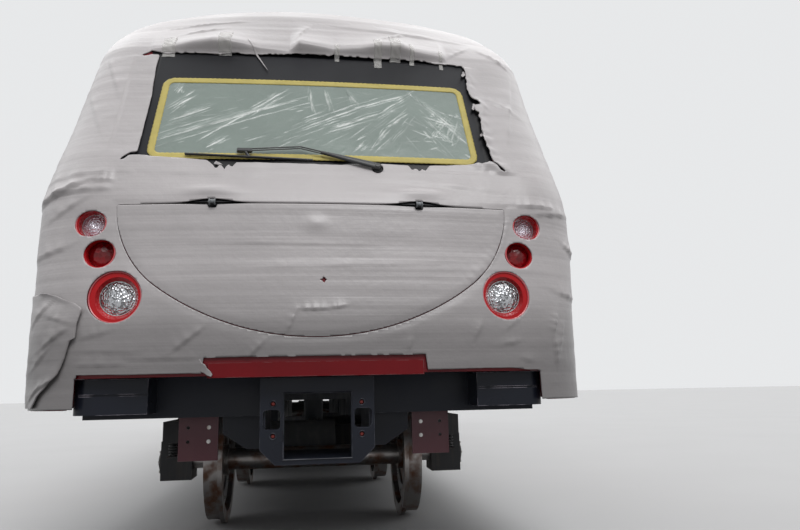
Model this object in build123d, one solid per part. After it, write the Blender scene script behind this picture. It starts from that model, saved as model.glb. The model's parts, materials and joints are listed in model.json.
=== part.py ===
from build123d import *
from math import cos, radians, sin, sqrt
import os

# Metro car with one driving cab. Millimetres. X across the car, Y along it, Z up.
# The cab nose is at the low end of Y, and the wheel flanges stand on Z = 0.

# Whole car: nose to first doorway, doorway to doorway, last doorway to tail
FRONT_TO_DOOR, DOOR_PITCH, DOOR_TO_TAIL = 4250.0, 4900.0, 3950.0
DOORWAYS = 3
CAR_LENGTH = FRONT_TO_DOOR + (DOORWAYS - 1) * DOOR_PITCH + DOOR_TO_TAIL
HALF_WIDTH = 1500.0
NOSE_Y = -CAR_LENGTH / 2
TAIL_Y = CAR_LENGTH / 2
GANGWAY_LENGTH = 320.0
END_WALL = 80.0
SHELL_TAIL_Y = TAIL_Y - GANGWAY_LENGTH

# Body cross-section: vertical sides, leaning in above the waist, under an arched roof
SKIRT_Z = 885.0
FLOOR_Z = 1130.0
FLOOR_THICK = 80.0
WAIST_Z = 2050.0
CANTRAIL_Z = 3150.0
SHOULDER_LEAN = 112.0
SHOULDER_Z = 3330.0
SHOULDER_R = 170.0
CROWN_Z = 3690.0
WALL = 90.0
ROOF_THICK = 90.0

# Cab mask: a moulded shell whose plan outline leans back with height
MASK_LENGTH = 1450.0
MASK_THICK = 45.0
MASK_EDGE_Z = 1038.0
SKIRT_DEPTH = 265.0
# Each row: height, how far the middle of the front stands behind the nose, corner radius, bow radius
MASK_LEVELS = [
    (800.0, 30.0, 400.0, 6500.0),
    (1060.0, 15.0, 420.0, 6500.0),
    (1300.0, 15.0, 420.0, 6500.0),
    (1930.0, 80.0, 410.0, 7000.0),
    (2230.0, 235.0, 390.0, 16000.0),
    (3110.0, 680.0, 330.0, 16000.0),
    (3320.0, 815.0, 350.0, 6000.0),
    (3480.0, 925.0, 480.0, 3800.0),
    (3600.0, 1075.0, 580.0, 3400.0),
    (3760.0, 1430.0, 600.0, 3400.0),
]

# Front window: a black panel set in the mask, and the glass in the panel. Half widths at foot and head
PANEL_HALF_LOW, PANEL_HALF_HIGH = HALF_WIDTH - 520.0, HALF_WIDTH - 543.0
PANEL_LOW_Z, PANEL_HIGH_Z = 2208.0, 3052.0
PANEL_CORNER_R = 30.0
GLASS_HALF_LOW, GLASS_HALF_HIGH = PANEL_HALF_LOW - 74.0, PANEL_HALF_HIGH - 66.0
GLASS_LOW_Z, GLASS_HIGH_Z = 2250.0, 2808.0
GLASS_CORNER_R = 45.0
GLASS_THICK, GLASS_INSET = 14.0, 4.0

# Protective covers on the cab front: sheet on the mask and hatch, film over the glass
WRAP_THICK = 5.0
WRAP_REAR = 1380.0
WRAP_LOW_Z = 1064.0
WRAP_SKIRT_DEPTH = 230.0
WRAP_MARGIN = 6.0
FILM_LAP, FILM_LAP_Z = 21.0, 22.0
FILM_THICK = 2.0

# Front hatch: half-moon flap hung on its straight top edge
HATCH_HALF = HALF_WIDTH - 465.0
HATCH_TOP_Z = 1930.0
HATCH_DROP = 710.0
HATCH_SIDE_R = 550.0
HATCH_THICK = 25.0
HATCH_GAP = 10.0
HINGE_X = 545.0
PIN_R, PIN_CLEAR = 6.0, 0.05
LUG_WIDTH, EAR_WIDTH, EAR_GAP = 16.0, 8.0, 1.0
LUG_R, EAR_R = 12.0, 14.0
LUG_REACH, EAR_REACH = 20.0, 22.0

# Lamps: x from the car's side, z, hole radius, lens radius, lens depth behind the mask's surface
HEAD_LAMP = (490.0, 1439.0, 132.0, 90.0, 42.0)
TAIL_LAMP = (392.0, 1672.0, 82.0, 68.0, 40.0)
MARKER_LAMP = (336.0, 1832.0, 80.0, 66.0, 62.0)
CUP_LENGTH = 170.0
CUP_WALL = 6.0
CUP_MOUTH, CUP_SLOPE = 120.0, 40.0
LENS_SEAT, LENS_BULGE, LENS_DOME = 30.0, 12.0, 2.35

# Bumper lip and the steelwork under the mask
LIP_HALF = 545.0
LIP_LOW_Z, LIP_HIGH_Z = 1028.0, 1100.0
LIP_THICK, LIP_END = 60.0, 28.0
CLIMBER_IN, CLIMBER_OUT = 845.0, HALF_WIDTH - 285.0
CLIMBER_LOW_Z, CLIMBER_HIGH_Z = 858.0, 1035.0
CLIMBER_FACE = 170.0
CLIMBER_CORNER_R = 70.0
CLIMBER_RIB, CLIMBER_GROOVE = 92.0, 9.0
HEADSTOCK_FACE = 380.0
HEADSTOCK_LOW_Z = 830.0
HEADSTOCK_THICK = 100.0
CAB_FLOOR_FACE = 260.0

# Coupler pocket: front plate with a square port, two hand holes and four bolt holes, between two cheeks
POCKET_FACE = 110.0
POCKET_HALF = 288.0
POCKET_HIGH_Z, POCKET_LOW_Z = 1025.0, 595.0
POCKET_CHAMFER = 75.0
PORT_HALF = 168.0
PORT_HIGH_Z, PORT_LOW_Z = 943.0, 624.0
POCKET_PLATE = 30.0
POCKET_BOLT_X, POCKET_BOLT_R = 223.0, 13.0
POCKET_BOLT_HIGH_Z, POCKET_BOLT_LOW_Z = 895.0, 736.0
HAND_HOLE_X, HAND_HOLE_Z = 230.0, 817.0
HAND_HOLE_WIDE, HAND_HOLE_HIGH, HAND_HOLE_R = 88.0, 96.0, 20.0
CHEEK_OUT = 512.0
CHEEK_LOW_Z, CHEEK_STEP_Z = 650.0, 735.0
CHEEK_THICK = 25.0
CHEEK_CORNER_X = 380.0
POCKET_DEPTH = 700.0

# Guard bracket plates, four bolt holes each
GUARD_IN, GUARD_OUT = 535.0, 745.0
GUARD_LOW_Z, GUARD_HIGH_Z = 596.0, 830.0
GUARD_PLATE = 20.0
GUARD_BOLT_PITCH_X, GUARD_BOLT_PITCH_Z = 110.0, 75.0
GUARD_BOLT_R = 9.0
GUARD_BOLT_Z = 735.0

# Passenger doorways: pairs of leaves that slide into pockets in the walls
DOOR_CENTRES = [NOSE_Y + FRONT_TO_DOOR + i * DOOR_PITCH for i in range(DOORWAYS)]
DOORWAY_HALF = 650.0
DOORWAY_TOP_Z = 3030.0
LEAF_REST = 10.0
LEAF_TRAVEL = DOORWAY_HALF - LEAF_REST
LEAF_OVERLAP = 50.0
LEAF_MEET = 3.0
LEAF_CLEAR = 7.0
LEAF_LIFT = 7.0
LEAF_TUCK = 45.0
POCKET_SKIN = 22.0
POCKET_END = 10.0
LEAF_THICK = WALL - 2 * POCKET_SKIN - 2 * LEAF_CLEAR
LEAF_REACH = DOORWAY_HALF + LEAF_OVERLAP + LEAF_TRAVEL + POCKET_END
LEAF_PANE_LOW_Z, LEAF_PANE_HIGH_Z = 2110.0, 2790.0
LEAF_PANE_MARGIN = 130.0
LEAF_PANE_CORNER_R = 60.0

# Cab doorway: one leaf that slides back
CAB_DOOR_Y = NOSE_Y + 1820.0
CAB_DOOR_HALF = 275.0
CAB_LEAF_TRAVEL = 2 * CAB_DOOR_HALF - 2 * LEAF_REST
CAB_PANE_MARGIN = 110.0

# Side windows: one between each two doorways and one behind the last
WINDOW_MARGIN = 240.0
WINDOW_TAIL_MARGIN = 390.0
WINDOW_LOW_Z, WINDOW_HIGH_Z = 2110.0, 2900.0
WINDOW_CORNER_R = 90.0
PANE_THICK = 10.0
PANE_INSET = 12.0

# Bogies
BOGIE_SETBACK = 3200.0
BOGIE_Y = (NOSE_Y + BOGIE_SETBACK, TAIL_Y - BOGIE_SETBACK)
WHEELBASE = 2200.0
TREAD_R, FLANGE_R = 430.0, 458.0
WHEEL_INNER_X = 680.0
FLANGE_THICK, TREAD_WIDTH = 32.0, 100.0
RIM_DEPTH = 55.0
AXLE_R = 80.0
JOURNAL_R = 60.0
JOURNAL_OUT = 1080.0
HUB_R = 115.0
WEB_HALF = 16.0
BEAM_IN, BEAM_OUT = 905.0, 1085.0
BEAM_LOW_Z, BEAM_HIGH_Z = 500.0, 650.0
BEAM_ARM_RISE = 110.0
BEAM_END = 320.0
BEAM_RAMP = 180.0
TRANSOM_LOW_Z = 470.0
WELL_HALF_LENGTH = 480.0
WELL_DROP = 60.0
TRANSOM_HALF = 170.0
BOLSTER_LOW_Z = 880.0
BOLSTER_HALF_X, BOLSTER_HALF_Y = 1180.0, 260.0
SPRING_X, SPRING_R = 995.0, 240.0
SPRING_GAP = 0.5
SPRING_ROUND = 60.0
PIVOT_R, PIVOT_LOW_Z = 90.0, 500.0
PIVOT_BORE_CLEAR = 6.0
BOX_HALF, BOX_OUT = 130.0, 1130.0
BOX_CLEAR = 0.5
MOTOR_R, MOTOR_Z = 190.0, 520.0
MOTOR_IN, MOTOR_OUT = 180.0, 520.0
MOTOR_OFFSET = 520.0
HANGER_IN = 120.0

# Equipment and fittings
CASE_LOW_Z = 380.0
CASE_EDGE_R = 40.0
CASE_IN, CASE_OUT = 420.0, HALF_WIDTH - 200.0
CASE_CLEAR, CASE_GAP, CASE_LENGTH = 2100.0, 200.0, 2200.0
COOLER_SETBACK = 5600.0
COOLER_HALF_X, COOLER_HALF_Y = 950.0, 1300.0
COOLER_TOP_Z = 3960.0
COOLER_BEVEL = 110.0
BENCH_DEPTH, BENCH_HEIGHT, BENCH_THICK = 470.0, 430.0, 60.0
BENCH_FOOT = 180.0
BENCH_BACK_TOP = 2040.0
POLE_R = 17.0
POLE_X = HALF_WIDTH - WALL - BENCH_DEPTH - 40.0
RAIL_X, RAIL_Z, RAIL_HANGER, RAIL_ROD_R = HALF_WIDTH - 480.0, 3060.0, 150.0, 12.0
BULKHEAD_Y = NOSE_Y + 2380.0
BULKHEAD_THICK = 40.0
CAB_INNER_HALF, INNER_DOOR_HEIGHT, INNER_DOOR_GAP = 310.0, 1950.0, 8.0
GANGWAY_HALF, GANGWAY_TOP_Z = 520.0, 3130.0
BELLOWS_DEPTH, BELLOWS_CORNER_R, BELLOWS_FOLDS, BELLOWS_GROOVE = 105.0, 120.0, 8, 45.0
DRAWBAR_Z, DRAWBAR_R = 790.0, 60.0
DRAWBAR_PLATE, DRAWBAR_FLANGE_R = 30.0, 130.0
DRAWBAR_PCD, DRAWBAR_BOLT_R = 190.0, 13.0
DRAWBAR_ROOT, DRAWBAR_BOX = 260.0, 150.0

# Driver's place, its desk and seat
DESK_FRONT, DESK_REAR = 420.0, 1120.0
DESK_HALF = 1150.0
DESK_HIGH_Z, DESK_LOW_Z = 2060.0, 1900.0
DESK_SLOPE, DESK_LIP, DESK_KNEE, DESK_CLEAR = 330.0, 90.0, 420.0, 15.0
SEAT_S = 1650.0
SEAT_POST, SEAT_POST_R = 420.0, 60.0
SEAT_HALF, SEAT_PAD, SEAT_BACK = 240.0, 90.0, 720.0

# Wiper, parked along the foot of the glass: spindle, crank, blade holder, then the blade's ends
WIPER_POINTS = [(333.0, 2168.0), (-94.0, 2286.0), (-400.0, 2262.0)]
WIPER_BLADE = [(-720.0, 2238.0), (-25.0, 2206.0)]
WIPER_ARM, WIPER_RUBBER, WIPER_BAR, WIPER_STAND = 20.0, 16.0, 16.0, 12.0
WIPER_FOOT_R = 26.0


def back(s):
    """Y of a point that stands s behind the nose."""
    return NOSE_Y + s


def box(x0, x1, y0, y1, z0, z1):
    """Box between two corners."""
    solid = Box(abs(x1 - x0), abs(y1 - y0), abs(z1 - z0))
    return Pos((x0 + x1) / 2, (y0 + y1) / 2, (z0 + z1) / 2) * solid


def both(shape):
    """A piece and its mirror image across the car."""
    return [shape, mirror(shape, about=Plane.YZ)]


def side_x(z, inset=0.0):
    """Half width of the car at a height, less a horizontal inset."""
    if z <= WAIST_Z:
        return HALF_WIDTH - inset
    lean = SHOULDER_LEAN / (SHOULDER_Z - WAIST_Z)
    return HALF_WIDTH - lean * (z - WAIST_Z) - inset


def along(points, y0, y1):
    """Solid whose section is an XZ polygon, from y0 to y1."""
    face = make_face(Polyline(*[(x, y0, z) for x, z in points], close=True))
    return extrude(face, amount=y1 - y0, dir=(0, 1, 0))


def layer(z0, z1, inset0, inset1, y0, y1):
    """Part of the right wall between two insets from its outer face."""
    heights = [z0] + [WAIST_Z] * (z0 < WAIST_Z < z1) + [z1]
    outer = [(side_x(z, inset0), z) for z in heights]
    inner = [(side_x(z, inset1), z) for z in reversed(heights)]
    return along(outer + inner, y0, y1)


def section(inset, y0, y1, low_z):
    """Solid of the whole body section above a height, taken in by an inset."""
    shoulder_z = SHOULDER_Z - inset
    heights = [shoulder_z] + [WAIST_Z] * (low_z < WAIST_Z) + [low_z]
    side = [(side_x(z, inset), y0, z) for z in heights]
    edges = Polyline(*side, *[(-x, y, z) for x, y, z in reversed(side)])
    x1 = side[0][0]
    arch = ThreePointArc((-x1, y0, shoulder_z), (0, y0, CROWN_Z - inset), (x1, y0, shoulder_z))
    face = make_face([edges, arch])
    corners = [v for v in face.vertices() if abs(v.Z - shoulder_z) < 1]
    return extrude(fillet(corners, SHOULDER_R - inset / 2), amount=y1 - y0, dir=(0, 1, 0))


def mask_outline(z, lean, corner_r, bow_r, inset):
    """Plan outline of the mask at one height: bowed front, round corners, straight sides."""
    w = side_x(z, inset)
    bow, r = bow_r - inset, corner_r - inset
    front = back(lean + inset)
    cx, cy = w - r, bow - sqrt((bow - r) ** 2 - (w - r) ** 2)
    tx, ty = cx * bow / (bow - r), bow - (bow - cy) * bow / (bow - r)
    mx, my = cx + r * sin(radians(50)), cy - r * cos(radians(50))
    rear = back(MASK_LENGTH + 1200)
    edges = [
        ThreePointArc((-tx, front + ty, z), (0, front, z), (tx, front + ty, z)),
        ThreePointArc((tx, front + ty, z), (mx, front + my, z), (w, front + cy, z)),
        Line((w, front + cy, z), (w, rear, z)),
        Line((w, rear, z), (-w, rear, z)),
        Line((-w, rear, z), (-w, front + cy, z)),
        ThreePointArc((-w, front + cy, z), (-mx, front + my, z), (-tx, front + ty, z)),
    ]
    return make_face(edges)


def mask_block(inset, low_z, rear):
    """Solid of the mask's outer form, taken in by an inset."""
    faces = [mask_outline(*level, inset) for level in MASK_LEVELS]
    nose = loft(faces, ruled=True)
    return nose & section(inset, back(-200), back(rear), low_z)


def front_prism(half_low, half_high, z0, z1, corner_r):
    """Prism along Y of a window outline with round corners."""
    y = back(-300)
    outline = Polyline((-half_low, y, z0), (half_low, y, z0), (half_high, y, z1), (-half_high, y, z1),
                       close=True)
    face = make_face(outline)
    face = fillet(face.vertices(), corner_r)
    return extrude(face, amount=2200, dir=(0, 1, 0))


def window_prism(part, grow=0.0):
    """Prism of the window panel, its glass or its film."""
    half_low, half_high, z0, z1, corner_r = {
        "panel": (PANEL_HALF_LOW, PANEL_HALF_HIGH, PANEL_LOW_Z, PANEL_HIGH_Z, PANEL_CORNER_R),
        "glass": (GLASS_HALF_LOW, GLASS_HALF_HIGH, GLASS_LOW_Z, GLASS_HIGH_Z, GLASS_CORNER_R),
        "film": (GLASS_HALF_LOW + FILM_LAP, GLASS_HALF_HIGH + FILM_LAP, GLASS_LOW_Z - FILM_LAP_Z,
                 GLASS_HIGH_Z + FILM_LAP_Z, GLASS_CORNER_R),
    }[part]
    return front_prism(half_low + grow, half_high + grow, z0 - grow, z1 + grow, corner_r)


def hatch_prism(grow):
    """Prism along Y of the half-moon outline: straight top, round sides and a wide round foot."""
    y = back(-300)
    half, drop = HATCH_HALF + grow, HATCH_DROP + grow
    side_r, side_x0 = HATCH_SIDE_R + grow, HATCH_HALF - HATCH_SIDE_R
    foot_r = (side_x0 ** 2 + drop ** 2 - side_r ** 2) / (2 * (drop - side_r))
    rise = foot_r - drop
    reach = sqrt(side_x0 ** 2 + rise ** 2)
    tx, tz = side_x0 + side_r * side_x0 / reach, HATCH_TOP_Z - side_r * rise / reach
    mx, mz = side_x0 + side_r * cos(radians(25)), HATCH_TOP_Z - side_r * sin(radians(25))
    top = HATCH_TOP_Z + grow
    edges = [
        Line((-half, y, top), (half, y, top)),
        ThreePointArc((half, y, HATCH_TOP_Z), (mx, y, mz), (tx, y, tz)),
        ThreePointArc((tx, y, tz), (0, y, HATCH_TOP_Z - drop), (-tx, y, tz)),
        ThreePointArc((-tx, y, tz), (-mx, y, mz), (-half, y, HATCH_TOP_Z)),
    ]
    if grow:
        edges += [Line((side * half, y, top), (side * half, y, HATCH_TOP_Z)) for side in (-1, 1)]
    return extrude(make_face(edges), amount=700, dir=(0, 1, 0))


def rod(x, y0, y1, z, r):
    """Round bar along Y."""
    return Pos(x, (y0 + y1) / 2, z) * Rot(90, 0, 0) * Cylinder(r, y1 - y0)


def cross_rod(x0, x1, y, z, r):
    """Round bar along X."""
    return Pos((x0 + x1) / 2, y, z) * Rot(0, 90, 0) * Cylinder(r, x1 - x0)


def mask_front_s(x, z):
    """How far the mask's outer face stands behind the nose at a place on its lower front."""
    for (z0, *low), (z1, *high) in zip(MASK_LEVELS, MASK_LEVELS[1:]):
        if z0 <= z <= z1:
            share = (z - z0) / (z1 - z0)
            lean, r, bow = [a + share * (b - a) for a, b in zip(low, high)]
    cx = side_x(z) - r
    cy = bow - sqrt((bow - r) ** 2 - cx ** 2)
    if abs(x) <= cx * bow / (bow - r):
        return lean + bow - sqrt(bow ** 2 - x ** 2)
    return lean + cy - sqrt(r ** 2 - (abs(x) - cx) ** 2)


# The mask, its hatch, its lip and its lamps

def lamp_pieces(lamp, outer):
    """Cup and lens of one lamp at the positive end of X."""
    from_side, z, hole_r, lens_r, depth = lamp
    x = HALF_WIDTH - from_side
    face = back(mask_front_s(x, z))
    lens_y = face + depth
    body = rod(x, back(-200), lens_y + CUP_LENGTH / 2, z, hole_r) & outer
    flare = lens_r + (hole_r - CUP_WALL - lens_r) * 2 * CUP_MOUTH / (depth + CUP_SLOPE)
    mouth = Pos(x, lens_y - CUP_MOUTH, z) * Rot(90, 0, 0) * Cone(lens_r, flare, 2 * CUP_MOUTH)
    body -= mouth
    body -= rod(x, lens_y - 1, lens_y + LENS_SEAT, z, lens_r)
    dome = Pos(x, lens_y - LENS_BULGE + LENS_DOME * lens_r, z) * Sphere(LENS_DOME * lens_r)
    lens = rod(x, lens_y - 2 * LENS_BULGE, lens_y + LENS_SEAT, z, lens_r) & dome
    return body, lens


def build_mask():
    outer = mask_block(0.0, SKIRT_Z, MASK_LENGTH)
    shell = outer - mask_block(MASK_THICK, SKIRT_Z - 50, MASK_LENGTH + 50)
    skirt_x = HALF_WIDTH - SKIRT_DEPTH
    shell -= box(-skirt_x, skirt_x, back(-100), back(700), SKIRT_Z - 100, MASK_EDGE_Z)
    panel_hole = window_prism("panel")
    skin = shell & panel_hole
    shell -= panel_hole
    leaf = outer - mask_block(HATCH_THICK, SKIRT_Z - 50, MASK_LENGTH + 50)
    hatch = (leaf & hatch_prism(0.0)).solids().sort_by(Axis.Y)[0]
    shell -= hatch_prism(HATCH_GAP)
    lugs, ears = hatch_hinges(outer)
    hatch += lugs
    shell += ears
    panel = skin - window_prism("glass")
    glass = mask_block(GLASS_INSET, SKIRT_Z, MASK_LENGTH)
    glass -= mask_block(GLASS_INSET + GLASS_THICK, SKIRT_Z - 50, MASK_LENGTH + 50)
    glass &= window_prism("glass")
    cups, clear, red = [], [], []
    for lamp, lenses in ((HEAD_LAMP, clear), (TAIL_LAMP, red), (MARKER_LAMP, clear)):
        cup, lens = lamp_pieces(lamp, outer)
        for hole in lamp_holes(lamp, 0.0):
            shell -= hole
        cups += both(cup)
        lenses += both(lens)
    lip = build_lip()
    shell -= lip
    return {
        "cab_mask": shell, "front_hatch": hatch, "front_window_panel": panel, "front_window_glass": glass,
        "lamp_cups": cups, "clear_lamp_lenses": clear, "red_lamp_lenses": red, "bumper_lip": lip,
    }


def lamp_holes(lamp, grow):
    """Round bars along Y that cut both holes of a lamp."""
    from_side, z, hole_r = lamp[:3]
    return both(rod(HALF_WIDTH - from_side, back(-200), back(700), z, hole_r + grow))


def build_lip():
    """Bumper lip along the middle of the mask's foot, its ends cut back."""
    _, _, corner_r, bow_r = MASK_LEVELS[1]
    height = LIP_HIGH_Z - LIP_LOW_Z
    lip = extrude(mask_outline(LIP_LOW_Z, 0.0, corner_r, bow_r, 0.0), amount=height, dir=(0, 0, 1))
    ends = [(-LIP_HALF, back(LIP_THICK)), (-LIP_HALF + LIP_END, back(-50)),
            (LIP_HALF - LIP_END, back(-50)), (LIP_HALF, back(LIP_THICK))]
    face = make_face(Polyline(*[(x, y, LIP_LOW_Z) for x, y in ends], close=True))
    return lip & extrude(face, amount=height, dir=(0, 0, 1))


def build_covers():
    """The protective sheets on mask and hatch, and the film over the glass."""
    outer = mask_block(0.0, SKIRT_Z - 50, MASK_LENGTH)
    skin = mask_block(-WRAP_THICK, SKIRT_Z, WRAP_REAR) - outer
    film = (mask_block(-FILM_THICK, SKIRT_Z, MASK_LENGTH) - outer) & window_prism("film")
    hatch_wrap = skin & hatch_prism(0.0)
    front_wrap = skin - hatch_prism(HATCH_GAP) - window_prism("panel", WRAP_MARGIN)
    skirt_x = HALF_WIDTH - WRAP_SKIRT_DEPTH
    front_wrap -= box(-skirt_x, skirt_x, back(-100), back(700), SKIRT_Z - 100, WRAP_LOW_Z)
    lip_x = LIP_HALF + WRAP_MARGIN
    front_wrap -= box(-lip_x, lip_x, back(-100), back(700), SKIRT_Z - 100, LIP_HIGH_Z + WRAP_MARGIN)
    for lamp in (HEAD_LAMP, TAIL_LAMP, MARKER_LAMP):
        for hole in lamp_holes(lamp, WRAP_MARGIN):
            front_wrap -= hole
    y, z = hatch_axis()
    ear_reach = LUG_WIDTH / 2 + EAR_GAP + EAR_WIDTH + WRAP_MARGIN
    for x in (-HINGE_X, HINGE_X):
        hatch_wrap -= box(x - ear_reach, x + ear_reach, y - 200, y + 200, z - LUG_REACH - WRAP_MARGIN, z + 50)
        front_wrap -= box(x - ear_reach, x + ear_reach, y - 200, y + 200, z - 50, z + EAR_REACH + WRAP_MARGIN)
    foot_x, foot_z = WIPER_POINTS[0]
    front_wrap -= rod(foot_x, back(-200), back(900), foot_z, WIPER_FOOT_R + WRAP_MARGIN)
    return {"front_wrap": front_wrap, "hatch_wrap": hatch_wrap, "window_film": film}


def hatch_axis():
    """Y and Z of the hatch's hinge line, at the mask's outer face in the middle of the top gap."""
    return back(mask_front_s(0.0, HATCH_TOP_Z)), HATCH_TOP_Z + HATCH_GAP / 2


def hatch_hinges(outer):
    """Lugs with pins for the hatch, and bored ears for the mask, at two places on the hinge line."""
    y, z = hatch_axis()
    lugs, ears = [], []
    for x in (-HINGE_X, HINGE_X):
        x0, x1 = x - LUG_WIDTH / 2, x + LUG_WIDTH / 2
        plate = [(y - LUG_R, z), (y - LUG_R, z - LUG_R), (y + LUG_R, z - LUG_REACH),
                 (y + 4 * LUG_R, z - LUG_REACH), (y + 4 * LUG_R, z)]
        lug = across(plate, x0, x1) + cross_rod(x0, x1, y, z, LUG_R)
        lug -= outer
        lug += cross_rod(x0 - EAR_GAP - EAR_WIDTH, x1 + EAR_GAP + EAR_WIDTH, y, z, PIN_R)
        lugs.append(lug)
        plate = [(y - EAR_R, z), (y + 2 * EAR_R, z + EAR_REACH), (y + 6 * EAR_R, z + EAR_REACH),
                 (y + 6 * EAR_R, z)]
        for e0 in (x0 - EAR_GAP - EAR_WIDTH, x1 + EAR_GAP):
            ear = across(plate, e0, e0 + EAR_WIDTH) + cross_rod(e0, e0 + EAR_WIDTH, y, z, EAR_R)
            ear -= outer
            ear -= cross_rod(e0 - 1, e0 + EAR_WIDTH + 1, y, z, PIN_R + PIN_CLEAR)
            ears.append(ear)
    return lugs, ears


def across(points, x0, x1):
    """Solid whose section is a YZ polygon, from x0 to x1."""
    face = make_face(Polyline(*[(x0, y, z) for y, z in points], close=True))
    return extrude(face, amount=x1 - x0, dir=(1, 0, 0))


# The nose steelwork under the mask

def build_nose():
    lower = HEADSTOCK_FACE + HEADSTOCK_THICK
    beam = box(-CLIMBER_OUT, CLIMBER_OUT, back(HEADSTOCK_FACE), back(lower), HEADSTOCK_LOW_Z,
               FLOOR_Z - FLOOR_THICK)
    beam -= box(-POCKET_HALF, POCKET_HALF, back(0), back(POCKET_DEPTH), 0, FLOOR_Z - FLOOR_THICK)
    ribs = int((CLIMBER_HIGH_Z - CLIMBER_LOW_Z) // (CLIMBER_RIB + CLIMBER_GROOVE))
    block = box(CLIMBER_IN, CLIMBER_OUT, back(CLIMBER_FACE), back(HEADSTOCK_FACE), CLIMBER_LOW_Z,
                CLIMBER_HIGH_Z)
    corner = block.edges().filter_by(Axis.Z).sort_by(lambda e: e.center().X - e.center().Y)[-1]
    block = fillet(corner, CLIMBER_CORNER_R)
    for i in range(ribs):
        z0 = CLIMBER_LOW_Z + CLIMBER_RIB + i * (CLIMBER_RIB + CLIMBER_GROOVE)
        groove = box(CLIMBER_IN - 1, CLIMBER_OUT + 1, back(0), back(HEADSTOCK_FACE), z0, z0 + CLIMBER_GROOVE)
        inner = box(CLIMBER_IN - 2, CLIMBER_OUT - CLIMBER_GROOVE, back(CLIMBER_FACE + CLIMBER_GROOVE),
                    back(HEADSTOCK_FACE + 1), z0 - 1, z0 + CLIMBER_GROOVE + 1)
        block -= groove - inner
    cx = (GUARD_IN + GUARD_OUT) / 2
    plate = box(GUARD_IN, GUARD_OUT, back(lower), back(lower + GUARD_PLATE), GUARD_LOW_Z, FLOOR_Z - FLOOR_THICK)
    for dx in (-GUARD_BOLT_PITCH_X / 2, GUARD_BOLT_PITCH_X / 2):
        for dz in (-GUARD_BOLT_PITCH_Z / 2, GUARD_BOLT_PITCH_Z / 2):
            z = GUARD_BOLT_Z + dz
            plate -= rod(cx + dx, back(lower - 10), back(lower + GUARD_PLATE + 10), z, GUARD_BOLT_R)
    return {"headstock": beam, "anticlimbers": both(block), "guard_brackets": both(plate),
            "coupler_pocket": build_pocket()}


def build_pocket():
    face, rear = back(POCKET_FACE), back(POCKET_DEPTH)
    inside = POCKET_FACE + POCKET_PLATE
    c = POCKET_CHAMFER
    outline = [(-POCKET_HALF, POCKET_HIGH_Z), (-POCKET_HALF, POCKET_LOW_Z + c),
               (-POCKET_HALF + c, POCKET_LOW_Z), (POCKET_HALF - c, POCKET_LOW_Z),
               (POCKET_HALF, POCKET_LOW_Z + c), (POCKET_HALF, POCKET_HIGH_Z)]
    body = along(outline, face, rear)
    body += box(-POCKET_HALF, POCKET_HALF, back(HEADSTOCK_FACE), rear, POCKET_HIGH_Z - 1, FLOOR_Z - FLOOR_THICK)
    w = CHEEK_THICK
    hollow = [(x * (POCKET_HALF - w) / POCKET_HALF, z + (w if z < POCKET_HIGH_Z else -w)) for x, z in outline]
    body -= along(hollow, back(inside), rear + 1)
    port = box(-PORT_HALF, PORT_HALF, face - 1, back(inside) + 1, PORT_LOW_Z, PORT_HIGH_Z)
    body -= port
    for x in (-POCKET_BOLT_X, POCKET_BOLT_X):
        for z in (POCKET_BOLT_LOW_Z, POCKET_BOLT_HIGH_Z):
            body -= rod(x, face - 1, back(inside) + 1, z, POCKET_BOLT_R)
    for x in (-HAND_HOLE_X, HAND_HOLE_X):
        hole = Pos(x, back(POCKET_FACE + POCKET_PLATE / 2), HAND_HOLE_Z)
        hole *= Box(HAND_HOLE_WIDE, POCKET_PLATE + 2, HAND_HOLE_HIGH)
        body -= fillet(hole.edges().filter_by(Axis.Y), HAND_HOLE_R)
    y0 = back(HEADSTOCK_FACE + HEADSTOCK_THICK)
    top = FLOOR_Z - FLOOR_THICK
    cheek = along([(POCKET_HALF, top), (POCKET_HALF, CHEEK_LOW_Z), (CHEEK_CORNER_X, CHEEK_LOW_Z),
                   (CHEEK_OUT, CHEEK_STEP_Z), (CHEEK_OUT, top)], y0, y0 + w)
    return body + both(cheek)


# The body shell

def leaf_band(z0, z1, y0, y1):
    """The stretch of wall that a sliding leaf fills."""
    inset = POCKET_SKIN + LEAF_CLEAR
    return layer(z0, z1, inset, inset + LEAF_THICK, y0, y1)


def pocket_band(y0, y1):
    """The slot in the wall that a leaf slides in."""
    low, high = FLOOR_Z - LEAF_TUCK - LEAF_LIFT, DOORWAY_TOP_Z + LEAF_TUCK + LEAF_LIFT
    return layer(low, high, POCKET_SKIN, WALL - POCKET_SKIN, y0, y1)


def build_side_wall():
    wall = layer(SKIRT_Z, CANTRAIL_Z, 0.0, WALL, back(MASK_LENGTH), SHELL_TAIL_Y - END_WALL)
    inner, outer = wall_span()
    for y in DOOR_CENTRES:
        wall -= box(inner, outer, y - DOORWAY_HALF, y + DOORWAY_HALF, FLOOR_Z, DOORWAY_TOP_Z)
        wall -= pocket_band(y - LEAF_REACH, y + LEAF_REACH)
    y0, y1 = CAB_DOOR_Y - CAB_DOOR_HALF, CAB_DOOR_Y + CAB_DOOR_HALF
    wall -= box(inner, outer, y0, y1, FLOOR_Z, DOORWAY_TOP_Z)
    wall -= pocket_band(y0 - LEAF_OVERLAP - POCKET_END, y1 + LEAF_OVERLAP + CAB_LEAF_TRAVEL + POCKET_END)
    for y, half in side_windows():
        wall -= window_block(y, half)
    return wall


def wall_span():
    """X range of a block that cuts right through one side wall."""
    return side_x(SHOULDER_Z, 2 * WALL), side_x(FLOOR_Z) + WALL


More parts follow.
